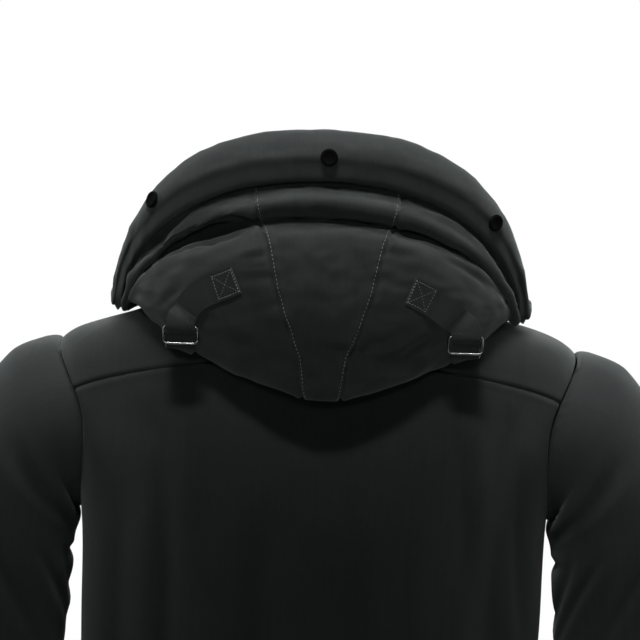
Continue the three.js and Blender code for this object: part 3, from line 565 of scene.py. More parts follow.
def weave_group():
    """Height of a twill, and the tone of its yarns, from a UV map in metres."""
    inputs = [("UV", "Vector"), ("Ribs per metre", "Float", 1100.0), ("Slant", "Float", 0.55)]
    outputs = [("Height", "Float"), ("Tone", "Float")]
    group, inward, outward = new_tree("twill_weave", "ShaderNodeTree", inputs, outputs)
    w = Wiring(group)
    uv, ribs, slant = (inward.outputs[i] for i in range(3))
    split = w.node("ShaderNodeSeparateXYZ", uv)
    u, v = split.outputs[0], split.outputs[1]
    diagonal = w.total(u, w.times(w.noise(uv, 60.0), 0.0016), w.times(v, slant))
    rib = w.math("SINE", w.times(w.times(diagonal, ribs), 2 * math.pi))
    height = w.total(w.times(rib, 0.3), w.times(w.noise(uv, 1800.0, 3.0, 0.6), 0.6))
    warp_yarns = w.noise(w.stretched(uv, (1.0, 0.028, 1.0)), 640.0, 2.0, 0.55)
    broad_yarns = w.noise(w.stretched(uv, (1.0, 0.05, 1.0)), 170.0, 2.0, 0.5)
    cloudy = w.noise(uv, 22.0, 4.0, 0.6)
    slubs = w.noise(w.stretched(uv, (1.0, 0.4, 1.0)), 420.0, 3.0, 0.7)
    w.feed(height, outward.inputs[0])
    w.feed(w.total(*(w.times(part, share) for part, share in (
        (warp_yarns, 0.25), (broad_yarns, 0.15), (slubs, 0.3), (cloudy, 0.3)))), outward.inputs[1])
    return group


TWILL = weave_group()
print("weave group", len(TWILL.nodes), "nodes")

# %% [markdown]
# ## The shell's cloth
# The cloth is a black that is faintly green, quite matt, and paler where it turns away, because its nap catches
# the light. Sheen gives that last part. A point attribute made from each panel's relief paints ridges a touch paler,
# as wear and as painted highlight, and troughs a touch darker, as painted shade.

# %% Cloth materials


def new_material(name):
    material = bpy.data.materials.new(name)
    material.use_nodes = True
    return material, Wiring(material.node_tree), material.node_tree.nodes["Principled BSDF"]


def join_surface(w, shader, colour, rough, height, strength, distance, settings):
    """Joins a shader's colour, roughness and bump to their nodes, and sets its plain values."""
    bumped = w.node("ShaderNodeBump")
    w.feed(strength, bumped.inputs["Strength"])
    w.feed(distance, bumped.inputs["Distance"])
    w.feed(height, bumped.inputs["Height"])
    w.feed(colour, shader.inputs["Base Color"])
    w.feed(rough, shader.inputs["Roughness"])
    w.feed(bumped.outputs[0], shader.inputs["Normal"])
    for key, value in settings.items():
        shader.inputs[key].default_value = value


def cloth_material(name, dark, pale, ribs, slant, bump_strength, roughness, sheen, streaks=1.9, wear_and_shade_gain=0.7):
    """A twill: dark and pale are the ends of its colour, set by yarn tone, by painted shade in the weave's grooves and
    the relief's troughs, and by wear and painted highlight on ridges.
    """
    material, w, shader = new_material(name)
    uv = w.node("ShaderNodeUVMap", uv_map="cloth").outputs[0]
    weave = w.node("ShaderNodeGroup", node_tree=TWILL)
    w.feed(uv, weave.inputs["UV"])
    weave.inputs["Ribs per metre"].default_value = ribs
    weave.inputs["Slant"].default_value = slant
    # Painted shade and highlight: this attribute, made from the relief's height, darkens troughs as painted shade and
    # lightens ridges as wear and painted highlight.
    rub = w.node("ShaderNodeAttribute", attribute_name="rub").outputs["Fac"]
    yarn = w.times(w.math("SUBTRACT", weave.outputs["Tone"], 0.5), streaks)
    # Painted shade and highlight: the weave's grooves are coloured darker and its crests paler, following the bump
    # height.
    weave_groove_shade = w.times(w.math("SUBTRACT", weave.outputs["Height"], 0.3), 0.12)
    wear_and_shade_shift = w.times(w.math("SUBTRACT", rub, 0.5), wear_and_shade_gain)
    rough = w.total(w.times(weave.outputs["Tone"], 0.12), roughness - 0.06)
    colour = w.blend(w.total(yarn, weave_groove_shade, wear_and_shade_shift, 0.45), dark, pale)
    join_surface(w, shader, colour, rough, weave.outputs["Height"], bump_strength, 0.0004, {
        "Specular IOR Level": 0.2, "Sheen Weight": sheen, "Sheen Roughness": 0.5, "Sheen Tint": (0.9, 1.0, 0.98, 1)})
    return material


SHELL_CLOTH = cloth_material("black_twill", (0.0150, 0.0175, 0.0170), (0.0330, 0.0370, 0.0360),
                             ribs=1100, slant=0.55, bump_strength=0.3, roughness=0.86, sheen=0.14)
print("cloth", SHELL_CLOTH.name)

# %% [markdown]
# ## Making the cloth's mesh
# Each panel becomes a thin shell: its outer face, an inner face under it and the narrow rim between them. The
# shell stands for its CAD solid, rides on the garment and prints the size that it is cut to.

# %% From panel to object
made_panels = {}


def mesh_object(name, vertices, faces, material):
    mesh = bpy.data.meshes.new(name)
    mesh.from_pydata((np.asarray(vertices) * MM).tolist(), [], [list(face) for face in faces])
    mesh.materials.append(material)
    mesh.shade_smooth()
    mesh.validate()
    return put(name, mesh)


def shell_faces(rows, columns, loop, flip):
    """The quads of a wall: its outer face, its inner face, and the rim round its open edges."""
    index = np.arange(rows * columns).reshape(rows, columns)
    if loop:
        index = np.concatenate([index, index[:, :1]], 1)
    inner = index + rows * columns
    a, b, c, d = index[:-1, :-1], index[:-1, 1:], index[1:, 1:], index[1:, :-1]
    quads = [np.stack([a, b, c, d], -1).reshape(-1, 4)]
    quads.append(np.stack([inner[:-1, :-1], inner[1:, :-1], inner[1:, 1:], inner[:-1, 1:]], -1).reshape(-1, 4))
    top = [index[0, :-1], inner[0, :-1], inner[0, 1:], index[0, 1:]]
    bottom = [index[-1, :-1], index[-1, 1:], inner[-1, 1:], inner[-1, :-1]]
    sides = [] if loop else [
        [index[:-1, 0], index[1:, 0], inner[1:, 0], inner[:-1, 0]],
        [index[:-1, -1], inner[:-1, -1], inner[1:, -1], index[1:, -1]],
    ]
    quads += [np.stack(edge, -1) for edge in [top, bottom, *sides]]
    faces = np.concatenate(quads)
    return faces[:, ::-1] if flip else faces


def make_cloth(panel, material, thickness=SHELL_THICKNESS):
    outer, inner = panel.surface(), panel.surface(-thickness)
    rows, columns = panel.height.shape
    faces = shell_faces(rows, columns, panel.loop, panel.outward < 0)
    vertices = np.concatenate([outer.reshape(-1, 3), inner.reshape(-1, 3)])
    made = mesh_object(panel.name + "_cloth", vertices, faces.tolist(), material)
    mesh = made.data
    middle = panel.across[:, panel.across.shape[1] // 2][:, None]
    uv = np.stack([panel.across - middle, -panel.down], -1).reshape(-1, 2) * MM
    corners = np.zeros(len(mesh.loops), np.int32)
    mesh.loops.foreach_get("vertex_index", corners)
    layer = mesh.uv_layers.new(name="cloth")
    layer.data.foreach_set("uv", np.tile(uv, (2, 1))[corners].astype(np.float32).ravel())
    # The relief's height as 0 to 1: low in troughs for painted shade, high on ridges for wear and painted highlight.
    rub = np.clip(0.5 + panel.height / 7, 0, 1)
    attribute = mesh.attributes.new("rub", "FLOAT", "POINT")
    attribute.data.foreach_set("value", np.tile(rub.ravel(), 2).astype(np.float32))
    mesh.set_sharp_from_angle(angle=math.radians(70))
    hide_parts(panel.name)
    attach(made, "garment")
    made_panels[panel.name] = (panel, made)
    width, length, area = panel.size()
    print(f"{panel.name}: {width:.3f} x {length:.3f} m, {area:.4f} m2, {len(mesh.loop_triangles)} triangles")
    return made


# %% [markdown]
# ## Stitches
# A row of stitches is a line on the finished cloth with one short thread repeated along it. Geometry Nodes does
# that well: the line is resampled at the stitch's pitch, and a thread, sunk to half its depth, is set on each
# point, turned along the line and level with the cloth. The base mesh carries the cloth's normals as an attribute.

# %% The stitching tree


def row_tree(name, sizes, make_piece, both_ways=False):
    """Sets a piece on each point of a line, turned along it, or along it and back in turn, and level with the cloth."""
    floats = [(size, "Float", value) for size, value in sizes.items()]
    inputs = [("Geometry", "Geometry"), *floats, ("Material", "Material")]
    tree, inward, outward = new_tree(name, "GeometryNodeTree", inputs, [("Geometry", "Geometry")])
    w = Wiring(tree)
    geometry, pitch, *given, material = inward.outputs[:len(inputs)]
    line = w.node("GeometryNodeResampleCurve", mode="LENGTH")
    w.feed(w.node("GeometryNodeMeshToCurve", geometry).outputs[0], line.inputs["Curve"])
    w.feed(pitch, line.inputs["Length"])
    way = w.node("GeometryNodeInputTangent").outputs[0]
    if both_ways:
        odd = w.math("MODULO", w.node("GeometryNodeInputIndex").outputs[0], 2.0)
        turned = w.node("ShaderNodeVectorMath", way, operation="SCALE")
        w.feed(w.math("SUBTRACT", 1.0, w.times(odd, 2.0)), turned.inputs["Scale"])
        way = turned.outputs[0]
    along = w.node("FunctionNodeAlignRotationToVector", axis="X")
    w.feed(way, along.inputs["Vector"])
    level = w.node("FunctionNodeAlignRotationToVector", axis="Z", pivot_axis="X")
    w.feed(along.outputs[0], level.inputs["Rotation"])
    facing = w.node("GeometryNodeInputNamedAttribute", "outward", data_type="FLOAT_VECTOR").outputs[0]
    w.feed(facing, level.inputs["Vector"])
    placed = w.node("GeometryNodeInstanceOnPoints")
    w.feed(line.outputs[0], placed.inputs["Points"])
    w.feed(make_piece(w, *given), placed.inputs["Instance"])
    w.feed(level.outputs[0], placed.inputs["Rotation"])
    real = w.node("GeometryNodeRealizeInstances", placed.outputs[0]).outputs[0]
    shaded = real if both_ways else w.node("GeometryNodeSetShadeSmooth", real).outputs[0]
    finished = w.node("GeometryNodeSetMaterial", shaded)
    w.feed(material, finished.inputs["Material"])
    w.feed(finished.outputs[0], outward.inputs[0])
    return tree


# %% The thread of one stitch


def thread_piece(w, length, thread):
    ball = w.node("GeometryNodeMeshUVSphere", 6, 4, 0.5)
    return w.moved(ball.outputs[0], Scale=w.vector(length, thread, thread))


STITCH_ROW = row_tree("stitch_row", {"Pitch": 0.003, "Length": 0.0024, "Thread": 0.0006}, thread_piece)


def grow_along(name, lines, tree, settings):
    """Grows a tree's pieces along lines, each of points and normals, and keeps them as one plain mesh."""
    points = np.concatenate([line for line, _ in lines]) * MM
    starts = np.cumsum([0] + [len(line) for line, _ in lines])
    edges = [(k, k + 1) for start, end in zip(starts[:-1], starts[1:]) for k in range(start, end - 1)]
    base = bpy.data.meshes.new(name)
    base.from_pydata(points.tolist(), edges, [])
    outward = base.attributes.new("outward", "FLOAT_VECTOR", "POINT")
    outward.data.foreach_set("vector", np.concatenate([n for _, n in lines]).astype(np.float32).ravel())
    made = put(name, base)
    grow = made.modifiers.new("grow", "NODES")
    grow.node_group = tree
    sockets = {item.name: item.identifier for item in tree.interface.items_tree if item.in_out == "INPUT"}
    for socket, value in settings.items():
        grow[sockets[socket]] = value
    grown = made.evaluated_get(bpy.context.evaluated_depsgraph_get())
    plain = bpy.data.meshes.new_from_object(grown)
    made.modifiers.remove(grow)
    made.data = plain
    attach(made, "garment")
    print(name, len(plain.polygons), "faces")
    return made


# %% [markdown]
# Polyester sewing thread is a little glossy, with the lay of its two plies as fine diagonal ridges. The hood's
# topstitching is pale grey on the black, and the hems are sewn in black.

# %% Thread


def plain_material(name, colour, roughness, metallic=0.0, grain=3000.0, tone=0.25, sheen=0.0, specular=0.5):
    """A finish with a fine grain, read from the piece's own place in the garment."""
    material, w, shader = new_material(name)
    place = w.node("ShaderNodeTexCoord").outputs["Object"]
    speck, cloud = w.noise(place, grain, 2.0), w.noise(place, grain / 40, 3.0)
    dark, pale = ([c * gain for c in colour] for gain in (1 - tone, 1 + tone))
    mixed = w.blend(w.total(w.times(speck, 0.6), w.times(cloud, 0.4)), dark, pale)
    rough = w.total(w.times(cloud, 0.16), roughness - 0.08)
    join_surface(w, shader, mixed, rough, speck, 0.1, 0.0001, {
        "Metallic": metallic, "Sheen Weight": sheen, "Specular IOR Level": specular})
    return material


PALE_THREAD = plain_material("pale_thread", (0.20, 0.21, 0.21), 0.6, grain=2500, sheen=0.1)
BLACK_THREAD = plain_material("black_thread", (0.016, 0.018, 0.018), 0.55, grain=2500, sheen=0.1)
STITCH = {"Pitch": 3.6 * MM, "Length": 2.6 * MM, "Thread": 0.7 * MM}


def sew(name, lines, thread=BLACK_THREAD, slot="shell", **sizes):
    grow_along(name, lines, STITCH_ROW, {**STITCH, **sizes, "Material": thread})


# %% [markdown]
# ## Back, yoke and fronts
# The body is cut as a back, two fronts and one yoke over both shoulders, whose seam arches across the shoulder
# blades. Their edges share the same rows and columns, so the seams meet point for point, as sewn cloth does.

# %% Where the body's seams run
YOKE_LEVEL = {"centre": 1.33, "armhole": 2.6, "softness": 0.15}
FRONT_SEAM_LEVEL = 2.2
ARMHOLE = {"turn": 90, "level": 3, "half_turn": 20, "half_level": 1}


def armhole_half_turn(level):
    up = (level - ARMHOLE["level"]) / ARMHOLE["half_level"]
    return ARMHOLE["half_turn"] * np.sqrt(np.maximum(0, 1 - up * up))


def armhole_top(turn):
    along = np.clip((turn - ARMHOLE["turn"]) / ARMHOLE["half_turn"], -1, 1)
    return ARMHOLE["level"] - ARMHOLE["half_level"] * np.sqrt(1 - along * along)


YOKE_CORNER_TURN = ARMHOLE["turn"] - armhole_half_turn(YOKE_LEVEL["armhole"])
FRONT_SEAM_TURN = ARMHOLE["turn"] + armhole_half_turn(FRONT_SEAM_LEVEL)


# %% Where the body's panels meet


def yoke_seam_level(share):
    """The level of the yoke's lower seam; share is 0 at the centre back and 1 at the armhole."""
    soft = YOKE_LEVEL["softness"]
    rise = (np.hypot(share, soft) - soft) / (math.hypot(1, soft) - soft)
    return lerp(YOKE_LEVEL["centre"], YOKE_LEVEL["armhole"], rise)


def shares(count, first=True, last=True):
    """Even steps from 0 to 1, with closer ones beside the edges that a seam turns in."""
    even, fine = np.linspace(0, 1, count + 1), np.array([0.12, 0.3, 0.6]) / count
    return np.unique(np.concatenate([even, fine if first else [], 1 - fine if last else []]))


def armhole_levels(top, steps):
    start = math.acos((ARMHOLE["level"] - top) / ARMHOLE["half_level"])
    round_ = ARMHOLE["level"] - ARMHOLE["half_level"] * np.cos(lerp(start, np.pi, steps))
    return (lerp(top, UNDERARM_LEVEL, steps) + round_) / 2


def edge_half_turn(level):
    return np.where(level < UNDERARM_LEVEL, armhole_half_turn(level), 0)


def column_turn(share, level, top_level, top_turn, edge_turn):
    """Only the columns next to the armhole follow its curve. The others fan out evenly to the underarm."""
    fan = smoothstep(level, top_level, UNDERARM_LEVEL)
    return share * lerp(lerp(top_turn, ARMHOLE["turn"], fan), edge_turn, np.abs(share) ** 5)


# %% The body's grids
ARMHOLE_STEPS = shares(54, last=False)
LOWER_LEVELS = lerp(UNDERARM_LEVEL, HEM_LEVEL, np.linspace(0, 1, 101))[1:]
YOKE_STEPS = shares(40, first=False)
BACK_SHARES = 2 * shares(150) - 1
BACK_EDGE_LEVELS = np.concatenate([armhole_levels(YOKE_LEVEL["armhole"], ARMHOLE_STEPS), LOWER_LEVELS])
FRONT_EDGE_LEVELS = np.concatenate([
    YOKE_STEPS[:-1] * FRONT_SEAM_LEVEL,
    armhole_levels(FRONT_SEAM_LEVEL, ARMHOLE_STEPS),
    LOWER_LEVELS,
])
OVER_SHOULDER = lerp(YOKE_CORNER_TURN, FRONT_SEAM_TURN, shares(26)[1:])


# %% The body's panels


def body_panel(name, turn, level, outward=1):
    turn, level = np.broadcast_arrays(turn, level)
    return Panel(name, body_point(turn, level), body_normal(turn, level), outward)


def back_panel():
    levels, top = BACK_EDGE_LEVELS[:, None], YOKE_LEVEL["armhole"]
    edge_turn = ARMHOLE["turn"] - edge_half_turn(levels)
    turn = column_turn(BACK_SHARES[None], levels, top, YOKE_CORNER_TURN, edge_turn)
    down = (levels - top) / (HEM_LEVEL - top)
    return body_panel("back", turn, lerp(yoke_seam_level(np.abs(BACK_SHARES))[None], HEM_LEVEL, down))


def yoke_panel():
    turns = np.concatenate([-OVER_SHOULDER[::-1], BACK_SHARES * YOKE_CORNER_TURN, OVER_SHOULDER])
    sides = armhole_top(OVER_SHOULDER)
    levels = np.concatenate([sides[::-1], yoke_seam_level(np.abs(BACK_SHARES)), sides])
    return body_panel("yoke", turns[None], YOKE_STEPS[:, None] * levels[None])


def front_panel(name, side):
    levels = FRONT_EDGE_LEVELS[:, None]
    top_turn = 180 - FRONT_SEAM_TURN
    edge_turn = np.where(levels < FRONT_SEAM_LEVEL, top_turn, ARMHOLE["turn"] - edge_half_turn(levels))
    inner_turn = np.degrees(np.arcsin(ZIP_HALF_GAP / between(BODY["front"], levels)))
    share = shares(70)[None]
    turn = column_turn(1 - share, levels, FRONT_SEAM_LEVEL, top_turn, edge_turn) + share * inner_turn
    return body_panel("front_" + name, side * (180 - turn), levels, outward=side)


# %% [markdown]
# The upright folds across the shoulder blades are placed as the camera sees them: faint, wide and uneven. The
# hem and the front edges are folded and stitched, which pulls a shallow channel beside each edge.

# %% Make the body
HEM_STITCH = 26  # millimetres above the edge
EDGE_STITCH = 7
BODY_LUMPS = ((120, 2.0), (60, 0.9), (20, 0.16))
BACK_CREASES = [  # start and end, right of and above the picture's middle, then bend, width, depth, ridge
    ((130, -95), (131, -262), 5, 9, 3.0, 0.5),
    ((185, -118), (190, -330), -4, 8, 3.2, 0.5),
    ((163, -190), (160, -330), -3, 7, 1.6, 0.4),
    ((-148, -120), (-151, -360), 4, 10, 3.2, 0.5),
    ((-182, -150), (-186, -380), -3, 9, 2.0, 0.4),
    ((-55, -140), (-62, -380), -6, 14, 2.6, 0.5),
    ((30, -165), (26, -350), 7, 17, 2.0, 0.4),
    ((-105, -120), (-112, -250), -5, 12, 1.5, 0.4),
    ((88, -175), (84, -345), -6, 13, 2.0, 0.4),
    ((-160, -66), (-128, -120), -5, 8, 1.4, 0.4),
    ((176, -78), (150, -140), 5, 8, 1.4, 0.4),
]
FRONT_CREASES = [  # across from the armhole and down from the neck
    ((40, 150), (95, 330), 9, 8, 2.2, 0.5),
    ((20, 260), (70, 420), -7, 9, 2.4, 0.5),
    ((150, 250), (175, 520), 8, 12, 1.6, 0.4),
    ((90, 420), (105, 640), -6, 11, 1.8, 0.4),
    ((200, 330), (190, 600), 5, 9, 1.2, 0.4),
    ((30, 520), (48, 690), 6, 10, 1.6, 0.4),
]
SEAT_SINK = 0.9  # the yoke is pressed down where the hood rests on it
BODY_SEAM = {"depth": 1.7, "width": 1.4, "pucker": 0.1}
NECK_CALM, ARMHOLE_CALM, ZIP_CALM = 14, 30, 24  # how far from each edge the relief is back to its full height
BODY_SEED = 3.1


def make_body():
    hems, edges = [], []
    back, yoke = back_panel(), yoke_panel()
    right, up = seen(back.points)
    add_creases(back, right, up, BACK_CREASES)
    fronts = [front_panel("left", 1), front_panel("right", -1)]
    for front, shift in zip(fronts, (0, 17)):
        add_creases(front, front.across + shift, front.down - shift, FRONT_CREASES)
        calm(front, "first", ARMHOLE_CALM)
    for panel in (back, yoke, *fronts):
        add_lumps(panel, BODY_SEED, BODY_LUMPS, stretch=3.2)
    calm(yoke, "top", NECK_CALM)
    yoke.height -= SEAT_SINK * smoothstep(yoke.points[..., 1], -70, -30) * (1 - smoothstep(yoke.down, 60, 110))
    add_seam(yoke, "bottom", "first", "last", **BODY_SEAM)
    add_seam(back, "top", "first", "last", **BODY_SEAM)
    for front in fronts:
        calm(front, "last", ZIP_CALM)
        calm(front, "top", NECK_CALM)
        add_seam(front, "first", **BODY_SEAM)
        add_channel(front, "last", EDGE_STITCH, depth=0.6)
        edges.append(front.beside("last", EDGE_STITCH))
    for panel in (back, *fronts):
        add_channel(panel, "bottom", HEM_STITCH)
        hems.append(panel.beside("bottom", HEM_STITCH))
    for panel in (back, yoke, *fronts):
        make_cloth(panel, SHELL_CLOTH)
    sew("hem_stitches", hems)
    sew("front_edge_stitches", edges)


make_body()

# %% [markdown]
# ## Sleeves
# A one-piece sleeve is set into the armhole, so its first ring is the armhole's own edge. Its crown is eased in
# and stands a little proud of the seam. Below, the cloth breaks into short creases at the elbow's inner side
# and where the arm leaves the body, and they are never the same on both arms.

# %% The sleeves' sections
SLEEVE = table("x y z tilt across depth", [
    (231, 0, -139, 0, 79, 78),
    (250, 0, -150, 25, 79, 83),
    (278, -1, -208, 60, 69, 82),
    (284, -2, -275, 80, 63, 79),
    (292, -5, -425, 84, 58, 70),
    (304, -24, -565, 84, 54, 62),
    (315, -44, -690, 84, 51, 57),
])
SLEEVE_FOLDS = [  # station, degrees round, depth, length along, spread round, slant
    (1.6, 110, 4, 0.28, 70, 0.004),
    (2.5, 200, 5, 0.25, 60, -0.004),
    (3.55, 250, 6, 0.2, 75, 0.003),
    (4.0, 265, 6, 0.2, 80, -0.002),
    (4.45, 235, 5, 0.2, 70, 0.003),
    (5.5, 80, 4, 0.22, 70, 0.004),
]
SLEEVE_ROWS = 150
SLEEVE_EASING = 1.15  # brings the rows closer together at the armhole


def armhole_corners():
    """The armhole's edge in the order of the sleeve's columns: top, back, underarm, front."""
    over = np.concatenate([[YOKE_CORNER_TURN], OVER_SHOULDER])[::-1]
    back_edge = armhole_levels(YOKE_LEVEL["armhole"], ARMHOLE_STEPS)[1:-1]
    front_edge = armhole_levels(FRONT_SEAM_LEVEL, ARMHOLE_STEPS)[1:][::-1]
    turns = [over, ARMHOLE["turn"] - armhole_half_turn(back_edge), ARMHOLE["turn"] + armhole_half_turn(front_edge)]
    return body_point(np.concatenate(turns), np.concatenate([armhole_top(over), back_edge, front_edge]))


def sleeve_panel(name, side):
    corners = armhole_corners()
    count = len(corners)
    first_y, first_z = SLEEVE["y"][0], SLEEVE["z"][0]
    rounds = np.degrees(np.arctan2(corners[:, 1] - first_y, corners[:, 2] - first_z)) % 360
    even = (rounds[0] - (360 if rounds[0] > 180 else 0) + 360 * np.arange(count) / count) % 360
    drift = (even - rounds + 540) % 360 - 180
    at = (len(SLEEVE["x"]) - 1) * np.linspace(0, 1, SLEEVE_ROWS + 1) ** SLEEVE_EASING
    at = np.concatenate([[0, 0.006, 0.014], at[1:]])[:, None]
    round_ = rounds + drift * smoothstep(at, 1, 3)
    fold = np.zeros_like(round_)
    for where, turned, depth, length, spread, slant in SLEEVE_FOLDS:
        away = (round_ - turned + 540) % 360 - 180
        fold += depth * bump((at - where - slant * away) / length) * bump(away / spread)
    tilt = np.radians(between(SLEEVE["tilt"], at))
    out = (between(SLEEVE["across"], at) - fold) * np.cos(np.radians(round_))
    deep = (between(SLEEVE["depth"], at) - fold) * np.sin(np.radians(round_))
    form = np.stack([
        between(SLEEVE["x"], at) + out * np.sin(tilt),
        between(SLEEVE["y"], at) + deep,
        between(SLEEVE["z"], at) + out * np.cos(tilt),
    ], -1)
    points = lerp(corners[None], form, smoothstep(at, 0, 1)[..., None]) * [side, 1, 1]
    return Panel("sleeve_" + name, points, ring_normals(points, -side), outward=-side, loop=True), round_


# %% Make the sleeves
CUFF_STITCH = 20
SLEEVE_LUMPS = ((80, 2.0), (38, 1.1), (15, 0.2))
SLEEVE_SEED = 14.2
CROWN = {"height": 1.2, "down": 12, "width": 9}  # the eased cloth that stands proud under the armhole's seam
ARM_CREASES = [  # degrees round and millimetres down; the outer line is at 0, the back at 90, the body side at 180
    ((150, 60), (235, 105), 10, 9, 3.0, 0.5),
    ((120, 95), (200, 130), -8, 8, 2.4, 0.5),
    ((60, 130), (140, 165), 8, 9, 1.6, 0.4),
    ((200, 230), (300, 262), 9, 8, 3.0, 0.6),
    ((180, 268), (290, 292), -7, 7, 3.2, 0.6),
    ((210, 305), (310, 322), 8, 8, 2.8, 0.6),
    ((60, 300), (130, 345), -9, 9, 1.6, 0.4),
    ((40, 380), (150, 410), 7, 9, 2.0, 0.5),
    ((200, 400), (290, 432), -8, 8, 2.2, 0.5),
    ((80, 470), (190, 488), 6, 7, 2.2, 0.5),
    ((250, 490), (345, 505), 7, 8, 1.8, 0.5),
]
cuffs = []
for name, side in (("left", 1), ("right", -1)):
    sleeve, round_ = sleeve_panel(name, side)
    turned, down = (round_ % 360, sleeve.down) if side > 0 else ((round_ + 14) % 360, sleeve.down - 9)
    add_creases(sleeve, turned, down, ARM_CREASES, mask=smoothstep(sleeve.down, 15, 60))
    add_lumps(sleeve, SLEEVE_SEED + 3 * side, SLEEVE_LUMPS, stretch=1.4)
    sleeve.height *= smoothstep(sleeve.down, 0, 25)
    add_seam(sleeve, "top", depth=1.7, width=2.2, pucker=0.25)
    crown = CROWN["height"] * hill((sleeve.down - CROWN["down"]) / CROWN["width"])
    sleeve.height += crown * smoothstep(sleeve.points[..., 2], -210, -130)
    add_channel(sleeve, "bottom", CUFF_STITCH)
    cuffs.append(sleeve.beside("bottom", CUFF_STITCH))
    make_cloth(sleeve, SHELL_CLOTH)
sew("cuff_stitches", cuffs)

# %% [markdown]
# ## The hood
# The hood has two side panels, a centre panel that narrows to the nape between topstitched seams, and the padded
# band of the brim. Its rows are spaced evenly by length rather than by line, so that the deep creases between
# the rolls have as many points as they need.

# %% Where the hood's panels lie
PANEL_HALF_WIDTH = [(0, 26), (STATION["under_low"], 18), (STATION["tip"], 16.5), (STATION["bag_low"], 24),
                    (STATION["bag_belly"], 43), (STATION["bag_top"], 55), (STATION["brim_crease"], 65)]
BRIM_SEAM = STATION["brim_crease"]


def panel_round(at):
    """How far round the centre panel reaches at each station."""
    half = np.interp(at, *zip(*PANEL_HALF_WIDTH))

    def inside(round_):
        return hood_point(round_, at)[..., 0] - hood_point(-round_, at)[..., 0] < 2 * half

    return sum(bisect(inside, np.zeros_like(at), np.full_like(at, HOOD_CORNER), 30)) / 2


def stations_by_length(start, end, steps):
    """Stations at the given shares of the section's length, taken a little to one side of the centre back."""
    at = np.linspace(start, end, 2000)
    length = lengths_along(hood_point(0.12, at)[:, None], 0)[:, 0]
    return np.interp(steps * length[-1], length, at)


HOOD_ROWS = stations_by_length(0, BRIM_SEAM, shares(168, first=False))
BRIM_ROWS = stations_by_length(BRIM_SEAM, LAST_STATION, shares(46))
CENTRE_SHARES = 2 * shares(50) - 1
SIDE_SHARES = shares(136, last=False)
SIDE_SHARES = lerp(SIDE_SHARES, np.sin(SIDE_SHARES * np.pi / 2), 0.5)
HOOD_HALF = panel_round(HOOD_ROWS)
SEAM_HALF = float(panel_round(np.array([float(BRIM_SEAM)]))[0])
FULLNESS = [  # station, reach and height: the padding fills both rolls' undersides, and the bag turns under
    (STATION["brim_crease"] + 0.42, 0.4, 5.5),
    (STATION["second_roll"] + 0.2, 0.7, 3.5),
    (STATION["deep_crease"] + 0.55, 0.42, 3.0),
    (STATION["tip"] + 0.95, 0.85, -4.0),
]


# %% The hood's panels


def hood_panel(name, rounds, rows):
    rounds, rows = np.broadcast_arrays(rounds, rows[:, None])
    panel = Panel(name, hood_point(rounds, rows), hood_normal(rounds, rows), outward=-1)
    panel.fullness = sum(amount * bump((rows - at) / reach) for at, reach, amount in FULLNESS)
    return panel


def hood_side_panel(name, side):
    rounds = lerp(HOOD_HALF[:, None], 1, SIDE_SHARES[None])
    return hood_panel("hood_" + name, rounds if side > 0 else -rounds[:, ::-1], HOOD_ROWS)


def brim_panel():
    side = lerp(SEAM_HALF, 1, SIDE_SHARES)[1:]
    rounds = np.concatenate([-side[::-1], CENTRE_SHARES * SEAM_HALF, side])
    return hood_panel("hood_brim", rounds[None], BRIM_ROWS)


# %% [markdown]
# The hood's creases are the ones that the photograph shows, measured from its middle. Most lie where the two
# rolls run out at the shoulders and the spare cloth has nowhere to go. Each is a few millimetres deep and soft at
# both ends. All of the hood's panels take the same list, so a crease runs on across a seam.

